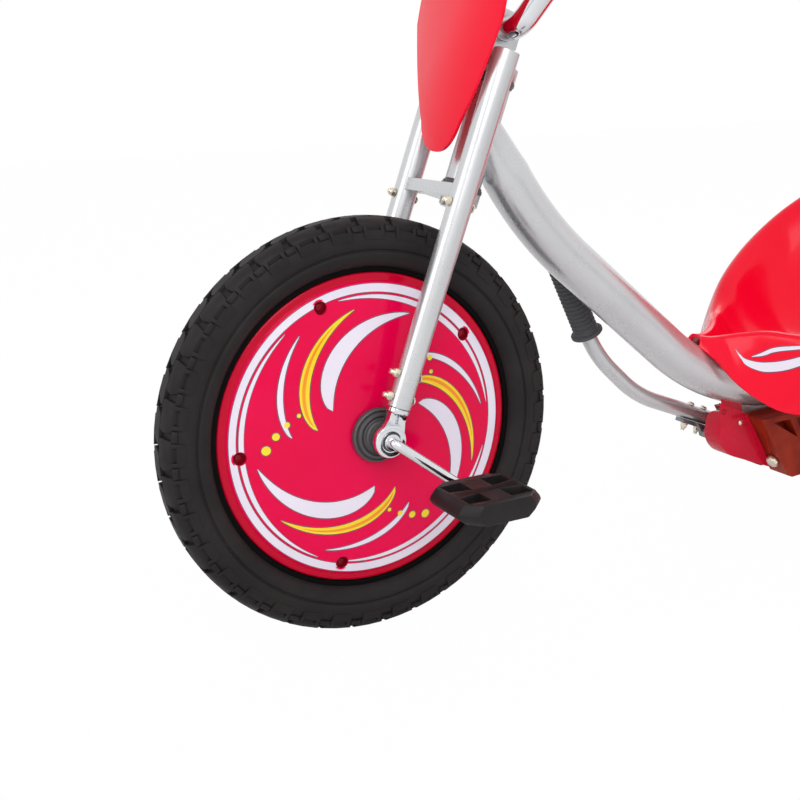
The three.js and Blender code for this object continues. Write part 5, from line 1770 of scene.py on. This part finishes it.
@dataclass
class Seat:
    """The moulded bucket: bowl, rolled rim and skirt, with its pale side flashes."""

    front: float = -388.0
    length: float = 390.0
    half_width: float = 170.0
    base: float = 165.0
    rise: float = 320.0
    roll: float = 12.0
    wall: float = 4.0
    power: float = 2.4
    rows: int = 120
    bowl: int = 34
    skirt: int = 16
    centre: Sequence[Triple] = (
        (0.072, 0, 0.228), (0.108, 0, 0.202), (0.149, 0, 0.174), (0.197, 0, 0.147),
        (0.246, 0, 0.13), (0.297, 0, 0.113), (0.351, 0, 0.103), (0.403, 0, 0.1),
        (0.479, 0, 0.1), (0.569, 0, 0.1), (0.659, 0, 0.138), (0.744, 0, 0.234),
        (0.831, 0, 0.391), (0.908, 0, 0.641), (0.954, 0, 0.828), (0.99, 0, 0.972),
    )
    rim: Sequence[Triple] = (
        (0.07, 0.035, 0.226), (0.108, 0.056, 0.224), (0.144, 0.09, 0.234),
        (0.187, 0.159, 0.25), (0.236, 0.271, 0.263), (0.287, 0.406, 0.256),
        (0.338, 0.529, 0.255), (0.39, 0.624, 0.287), (0.467, 0.735, 0.369),
        (0.569, 0.824, 0.453), (0.672, 0.871, 0.528), (0.774, 0.865, 0.603),
        (0.877, 0.776, 0.684), (0.949, 0.588, 0.797), (0.985, 0.353, 0.906), (0.995, 0.212, 0.953),
    )
    lip: Sequence[Triple] = (
        (0.06, 0.053, 0.197), (0.088, 0.141, 0.156), (0.133, 0.212, 0.081),
        (0.185, 0.306, 0.019), (0.236, 0.424, -0.022), (0.287, 0.559, -0.028),
        (0.338, 0.671, -0.022), (0.39, 0.765, -0.003), (0.467, 0.841, 0.066),
        (0.569, 0.906, 0.147), (0.672, 0.941, 0.234), (0.774, 0.935, 0.322),
        (0.877, 0.859, 0.428), (0.959, 0.682, 0.584), (1.01, 0.459, 0.766), (1.031, 0.271, 0.884),
    )
    lower_flash: Sequence[Triple] = (
        (0.157, 0.31, 0.004), (0.17, 0.42, 0.034), (0.19, 0.49, 0.052), (0.22, 0.5, 0.058),
        (0.261, 0.465, 0.056), (0.335, 0.34, 0.045), (0.4, 0.24, 0.03), (0.46, 0.18, 0.004),
    )
    upper_flash: Sequence[Triple] = (
        (0.205, 0.38, 0.003), (0.235, 0.33, 0.02),
        (0.263, 0.27, 0.026), (0.337, 0.18, 0.02), (0.4, 0.12, 0.003),
    )
    soften: int = 14
    flash_pieces: int = 6
    flash_lift: float = 0.18
    edge_lift: float = 0.12
    edging: float = 0.012
    bolts: Sequence[tuple[str, float]] = (("rear", -585.0), ("front", -535.0))
    bolt_seat: float = 197.2

    def guide(self, shares: Sequence[Triple]) -> Spline:
        """Turns shares into a line in millimetres."""
        front, length, width, base, rise = self.front, self.length, self.half_width, self.base, self.rise
        return Spline([Vector((front - a * length, o * width, base + u * rise)) for a, o, u in shares])

    def half_row(self, along: float) -> list[Vector]:
        """Gives the left half of one cross row, from the middle to the lip.

        Args:
            along: 0 at the front, 1 at the top of the back.

        Returns:
            The row's points.
        """
        c, r, lip = (self.guide(s).at(along) for s in (self.centre, self.rim, self.lip))
        row = []
        for k in range(self.bowl + 1):
            out = k / self.bowl
            lift = out**self.power
            row.append(Vector((c.x + (r.x - c.x) * lift, r.y * out, c.z + (r.z - c.z) * lift)))
        for k in range(1, self.skirt + 1):
            down = k / self.skirt
            point = r.lerp(lip, down)
            point.y += self.roll * r.y / self.half_width * math.sin(math.pi * down)
            row.append(point)
        start, end = self.bowl - 6, self.bowl + 5
        for _ in range(self.soften):
            near = [row[k].lerp((row[k - 1] + row[k + 1]) / 2, 0.5) for k in range(start, end)]
            row[start:end] = near
        return row

    def grid(self) -> list[list[Vector]]:
        """Gives all rows of the outer face, from right lip to left lip.

        Returns:
            The rows from front to back.
        """
        rows = []
        for i in range(self.rows + 1):
            half = self.half_row(i / self.rows)
            rows.append([Vector((p.x, -p.y, p.z)) for p in reversed(half[1:])] + half)
        return rows

    @staticmethod
    def normals(rows: Sequence[Sequence[Vector]]) -> list[list[Vector]]:
        """Gives the outward direction at each point of a grid.

        Args:
            rows: The grid's points.

        Returns:
            A unit vector for each point.
        """
        last_i, last_k = len(rows) - 1, len(rows[0]) - 1
        result = []
        for i, row in enumerate(rows):
            line_of = []
            for k in range(len(row)):
                along = rows[min(i + 1, last_i)][k] - rows[max(i - 1, 0)][k]
                across = row[min(k + 1, last_k)] - row[max(k - 1, 0)]
                line_of.append(along.cross(across).normalized())
            result.append(line_of)
        return result

    def shell(self) -> Form:
        """Gives the grid its wall and rolled edges.

        Returns:
            The closed bucket.
        """
        rows = self.grid()
        away = self.normals(rows)
        back = [[p - n * self.wall for p, n in zip(row, line_of)] for row, line_of in zip(rows, away)]
        whole = [row + list(reversed(under)) for row, under in zip(rows, back)]
        form = Form.grid(whole, False, True)
        n = len(whole[0])
        half = n // 2
        for i in (0, len(whole) - 1):
            for k in range(half - 1):
                a, b = i * n + k, i * n + n - 1 - k
                form.faces.append((a, a + 1, b - 1, b))
        return form

    def flash(self, path: Sequence[Triple], sign: int, lift: float) -> Form:
        """Lays a strip of film on the skirt.

        Args:
            path: Share along the seat, share down the skirt and half width as a share of the skirt.
            sign: Sign of y.
            lift: How far it stands off the skirt.

        Returns:
            A thin closed strip.
        """
        rows = []
        for along, down, half in path:
            here, ahead = self.half_row(along), self.half_row(min(1, along + 0.004))
            row, under = [], []
            for k in range(self.flash_pieces + 1):
                d = max(0.0, min(0.999, down + half * (2 * k / self.flash_pieces - 1))) * self.skirt
                i, t = self.bowl + int(d), d - int(d)
                p, q = here[i].lerp(here[i + 1], t), ahead[i].lerp(ahead[i + 1], t)
                away = (q - p).cross(here[i + 1] - here[i]).normalized()
                row.append(p - away * (self.wall + lift))
                under.append(p - away * (self.wall - 0.2))
            flip = Matrix.Scale(-1, 4, (0, 1, 0)) if sign < 0 else Matrix()
            rows.append([flip @ p for p in row + under[::-1]])
        return Form.closed(rows)

    def flashes(self, sign: int, lift: float, extra: float) -> Form:
        """Makes the two swept flashes of one side.

        Args:
            sign: Sign of y.
            lift: How far they stand off the skirt.
            extra: Added half width for the edging.

        Returns:
            Both strips.
        """
        strips = Form()
        for path in (self.lower_flash, self.upper_flash):
            spline = Spline([Vector(point) for point in path])
            points = [spline.at(i / 40) for i in range(41)]
            strips.add(self.flash([(p.x, p.y, p.z + extra) for p in points], sign, lift))
        return strips

    def dress(self) -> None:
        """Sets the seat and its fixings on the frame."""
        fit = Fit("seat_bucket", "frame", SEAT, ("seat_shell",), bevel=1.5, segments=3, angle=50)
        piece(self.shell(), fit, DESIGN)
        for side, sign in SIDES:
            fit = Fit(f"seat_flash_{side}", "frame", STRIPE, angle=60, slot=Slot.SEAT)
            piece(self.flashes(sign, self.flash_lift, 0), fit, DESIGN)
            fit = Fit(f"seat_flash_edge_{side}", "frame", EDGE, angle=60, slot=Slot.SEAT)
            piece(self.flashes(sign, self.edge_lift, self.edging), fit, DESIGN)
        fitted(copied("seat_mount"), Fit("seat_saddle", "frame", SILVER, ("seat_mount",), bevel=1.0))
        head = Fastener(head_radius=8, head_height=3).dome(self.bolt_seat, 1).moved(UPRIGHT)
        for name, x in self.bolts:
            spot = DESIGN @ Matrix.Translation((x, 0, 0))
            piece(head, Fit(f"seat_screw_{name}", "frame", ZINC, (f"seat_bolt_{name}",)), spot)


@dataclass
class RearEnd:
    """Folded bracket, moulded truck and their fixings."""

    bracket_half: float = 14.0
    hole: Pair = (-448.6, 149.0)
    screw: Pair = (-474.0, 132.3)
    nose_start: float = -470.0
    nose_top: Sequence[Pair] = (
        (10.9, 149.5), (0, 147.8), (-6, 144.2), (-9.8, 138.5), (-12, 131), (-13.1, 123), (-14, 117),
    )
    nose_under: Sequence[Pair] = (
        (10.9, 146.3), (0.8, 144.7), (-3.9, 141.8), (-6.9, 137), (-8.9, 130.3), (-9.9, 123), (-10.8, 117),
    )
    eyelet: Sequence[Pair] = ((0, -0.5), (2.1, -0.5), (2.1, 0.05), (3.0, 0.4), (3.3, 0.05), (3.3, -1), (0, -1))
    nose_foot: Sequence[Pair] = ((-13.7, 116), (-13.2, 111), (-11.6, 111))
    nose_clear: Sequence[Pair] = ((-22, 117), (-22, 175), (10.9, 175))
    clear_length: float = 40.0
    cap_length: float = 23.5

    @staticmethod
    def across(outline: Sequence[Pair], start: float, end: float) -> Form:
        """Gives an outline seen from the front a length along the trike.

        Args:
            outline: Y and z of each corner.
            start: Rear x.
            end: Front x.

        Returns:
            The closed form in the row frame.
        """
        return Form.plate(outline, -end, -start).moved(DESIGN @ Matrix.Rotation(math.pi / 2, 4, "Z"))

    def bracket(self) -> Item:
        """Rounds the nose of the bracket on its far side, under the near ear.

        Returns:
            The bracket.
        """
        x = self.nose_start
        above = [*self.nose_top, *self.nose_clear]
        opened = carve(copied("rear_bracket"), [self.across(above, x, x + self.clear_length)])
        cap = [*self.nose_top[:-1], *self.nose_foot, *reversed(self.nose_under)]
        return carve(opened, [self.across(cap, x - 0.5, x + self.cap_length)], "UNION")

    def dress(self) -> None:
        """Sets bracket and truck on the frame."""
        fit = Fit("bracket_fold", "frame", BRACKET, ("rear_bracket",), bevel=1.3, segments=3)
        fitted(self.bracket(), fit)
        fit = Fit("truck_casting", "frame", TRUCK, ("rear_truck",), bevel=1.1)
        fitted(copied("rear_truck"), fit)
        for side, sign in SIDES:
            fit = Fit(f"truck_screw_{side}", "frame", ZINC, (f"truck_bolt_{side}",), bevel=0.5)
            fitted(copied(f"truck_bolt_{side}"), fit)
            out = Vector((0, sign, 0))
            ear = sign * self.bracket_half
            spot = DESIGN @ about_axis(Matrix.Translation((self.screw[0], ear, self.screw[1])), out)
            fit = Fit(f"bracket_screw_{side}", "frame", ZINC)
            piece(Fastener(head_radius=3.2, head_height=1.8).dome(0, 1), fit, spot)
            if sign < 0:
                continue
            spot = DESIGN @ about_axis(Matrix.Translation((self.hole[0], ear, self.hole[1])), out)
            # Painted shade: the eyelet's dark disc stands for the shade in the bracket's hole.
            ring = Form.lathe(self.eyelet, 28)
            piece(ring, Fit(f"bracket_eyelet_{side}", "frame", RECESS_SHADE, slot=Slot.BRACKET), spot)


@dataclass
class SparkGear:
    """The pull-up lever with its grip, its two bolts, the arm and the pad."""

    offset: float = 45.0
    radius: float = 9.0
    corners: Sequence[Pair] = ((-478, 123), (-367.8, 168.6), (-310.4, 223.3), (-255.1, 343))
    bend: float = 150.0
    grip_radius: float = 14.0
    grip_flange: float = 18.0
    grip_length: float = 108.0
    bolts: Sequence[float] = (13.0, 34.0)
    head_at: float = -9.3
    nut_at: float = 14.4
    thread_span: Pair = (19.0, 22.9)

    def dress(self) -> None:
        """Sets the gear on its own body."""
        places = [Vector((x, -self.offset, z)) for x, z in self.corners]
        path = line(places, self.bend, 12, 3)
        fit = Fit("lever_tube", "spark_gear", SILVER, ("spark_lever",), angle=50)
        piece(Form.sweep(path, self.radius, 40), fit, DESIGN)
        along = (places[3] - places[2]).normalized()
        spot = DESIGN @ about_axis(Matrix.Translation(places[3] + along * (4.3 - self.grip_length)), along)
        sleeve = Grip(self.grip_radius, self.grip_flange, self.grip_length, self.radius, 5.0)
        sleeve.dress("lever_sleeve", "spark_gear", "lever_grip", spot)
        low = (places[1] - places[0]).normalized()
        down = Vector((low.z, 0, -low.x))
        bolt = Fastener(tail=3)
        for name, run in zip(("rear", "front"), self.bolts):
            form = bolt.dome(self.head_at, -1).add(bolt.nut(self.nut_at))
            form.add(bolt.thread(*self.thread_span))
            spot = DESIGN @ about_axis(Matrix.Translation(places[0] + low * run), down)
            piece(form, Fit(f"lever_screw_{name}", "spark_gear", ZINC, (f"lever_bolt_{name}",)), spot)
        for node, name in (("spark_arm", "pad_arm"), ("spark_pad", "pad_block")):
            fitted(copied(node), Fit(name, "spark_gear", SPARK, (node,), bevel=0.9))


@dataclass
class Caster:
    """One inclined swivel caster."""

    spacing: float = 115.0
    wheel: Pair = (-755.0, 38.0)
    bolt_half: float = 17.3
    spokes: int = 6
    spoke: tuple[Triple, Triple] = ((9, -9.6, -1.3), (19, 9.6, 1.3))
    tyre: Sequence[Pair] = (
        (21.3, 10.2), (25, 12), (29.5, 12), (34.2, 10.9), (36.6, 8.6), (37.6, 5.6), (38, 2.6), (38, 0),
    )
    hub: Sequence[Pair] = (
        (4.3, 12), (7, 12), (7.6, 11.4), (8.6, 7.6), (11, 6.6), (17.6, 6.6), (19.4, 8.0), (19.9, 10.0),
        (21, 10.2),
    )

    def dress(self, side: str, sign: int) -> None:
        """Sets one caster on its two bodies.

        Args:
            side: Name of the side.
            sign: Sign of its y.
        """
        swivel, roll = f"caster_{side}", f"caster_wheel_{side}"
        spot = DESIGN @ Matrix.Translation((self.wheel[0], sign * self.spacing, self.wheel[1]))
        fit = Fit(f"yoke_{side}", swivel, SILVER, (f"caster_yoke_{side}",), bevel=0.8, angle=36)
        fitted(copied(f"caster_yoke_{side}"), fit)
        bolt = Fastener(radius=4, head_radius=7, head_height=4, nut_height=4.2, tail=0)
        form = bolt.dome(-self.bolt_half, -1).add(bolt.nut(self.bolt_half))
        piece(form, Fit(f"caster_pin_{side}", swivel, ZINC, (f"caster_axle_{side}",)), spot)
        rings = (("tread", self.tyre, TYRE, "tyre"), ("centre", self.hub, BLACK, "hub"))
        for name, half, finish, node in rings:
            fit = Fit(f"caster_{name}_{side}", roll, finish, (f"caster_{node}_{side}",))
            piece(Form.lathe(mirrored(half), 64), fit, spot)
        web = Form.block(*self.spoke)
        fit = Fit(f"caster_spokes_{side}", roll, BLACK, bevel=0.4, segments=1)
        Repeat.run(web, fit, self.spokes, spot, turn=turned(self.spokes))


# Studio


@dataclass
class Studio:
    """Floor, light and the camera at the photograph's angle."""

    eye: Vector = field(default_factory=lambda: Vector((0.76918, 1.01489, 0.53064)))
    azimuth: float = math.radians(151.11)
    elevation: float = math.radians(15.17)
    roll: float = math.radians(-1.53)
    lens: float = 54.18
    shift: float = -0.05
    fill: float = 0.62
    target: Vector = field(default_factory=lambda: Vector((0.1, 0, 0.25)))
    lamps: Sequence[tuple[str, Triple, float, float]] = (
        ("key", (1.2, 2.4, 2.6), 2.2, 52),
        ("front", (3.2, 0.6, 1.6), 1.6, 16),
        ("back", (-2.2, -1.4, 2.4), 1.6, 22),
    )

    def camera(self) -> None:
        """Makes the camera."""
        a, e, r = self.azimuth, self.elevation, self.roll
        back = Vector((math.sin(a) * math.cos(e), -math.cos(a) * math.cos(e), math.sin(e)))
        right = (-back).cross(Vector((0, 0, 1))).normalized()
        up = back.cross(right)
        across = right * math.cos(r) + up * math.sin(r)
        upward = up * math.cos(r) - right * math.sin(r)
        data = bpy.data.cameras.new("photo_camera")
        data.lens, data.sensor_width, data.shift_x = self.lens, 36, self.shift
        made = linked("photo_camera", data)
        made.matrix_world = Matrix((across, upward, back)).transposed().to_4x4()
        made.location = self.eye
        bpy.context.scene.camera = made

    def floor(self) -> None:
        """Lays a pale floor that stays white and keeps a soft shadow."""
        sheet = Sheet("studio_floor")
        sheet.set(Base_Color=(0.9, 0.9, 0.9, 1), Roughness=0.9)
        glow = sheet.node("ShaderNodeEmission", {"Color": WHITE, "Strength": 1.0})
        path = sheet.node("ShaderNodeLightPath")
        seen = sheet.sum("MULTIPLY", path.outputs["Is Camera Ray"], 0.985)
        mix = sheet.node("ShaderNodeMixShader", {0: seen, 1: sheet.shader.outputs[0], 2: glow.outputs[0]})
        feed(sheet.tree.nodes["Material Output"].inputs[0], mix.outputs[0])
        data = bpy.data.meshes.new("studio_floor")
        data.from_pydata([(-8, -8, 0), (8, -8, 0), (8, 8, 0), (-8, 8, 0)], [], [(0, 1, 2, 3)])
        data.materials.append(sheet.material)
        linked("studio_floor", data)

    def light(self) -> None:
        """Sets the world and the soft lamps."""
        world = bpy.data.worlds.new("studio")
        bpy.context.scene.world = world
        world.use_nodes = True
        tree = world.node_tree
        sky = tree.nodes["Background"]
        sky.inputs[0].default_value, sky.inputs[1].default_value = WHITE, self.fill
        white = wired(tree, "ShaderNodeBackground", {0: WHITE, 1: 1.0}).outputs[0]
        path = wired(tree, "ShaderNodeLightPath").outputs
        seen = path["Is Camera Ray"]
        for name in ("Is Glossy Ray", "Is Transmission Ray"):
            seen = wired(tree, "ShaderNodeMath", {0: seen, 1: path[name]}, operation="MAXIMUM").outputs[0]
        mix = wired(tree, "ShaderNodeMixShader", {0: seen, 1: sky.outputs[0], 2: white}).outputs[0]
        feed(tree.nodes["World Output"].inputs[0], mix)
        for name, place, size, watts in self.lamps:
            data = bpy.data.lights.new(name, "AREA")
            data.size, data.energy = size, watts
            lamp = linked(name, data)
            lamp.location = place
            aim = self.target - Vector(place)
            lamp.rotation_euler = aim.to_track_quat("-Z", "Y").to_euler()

    def dress(self) -> None:
        """Sets camera, floor and light."""
        self.camera()
        self.floor()
        self.light()
        bpy.context.scene.view_settings.view_transform = "Standard"


def main() -> None:
    """Builds the trike's looks and the studio."""
    logging.basicConfig(level=logging.INFO, format="%(message)s")
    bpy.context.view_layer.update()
    Studio().dress()
    core = WheelCore()
    parts = (
        FrontTyre(), WheelCover(), core, Pedal(core), Fork(), Headset(), Handlebar(), MainTube(), Seat(),
        RearEnd(), SparkGear(),
    )
    for part in parts:
        log.info("-- %s", type(part).__name__)
        part.dress()
    for side, sign in SIDES:
        Caster().dress(side, sign)


if __name__ == "__main__":
    main()
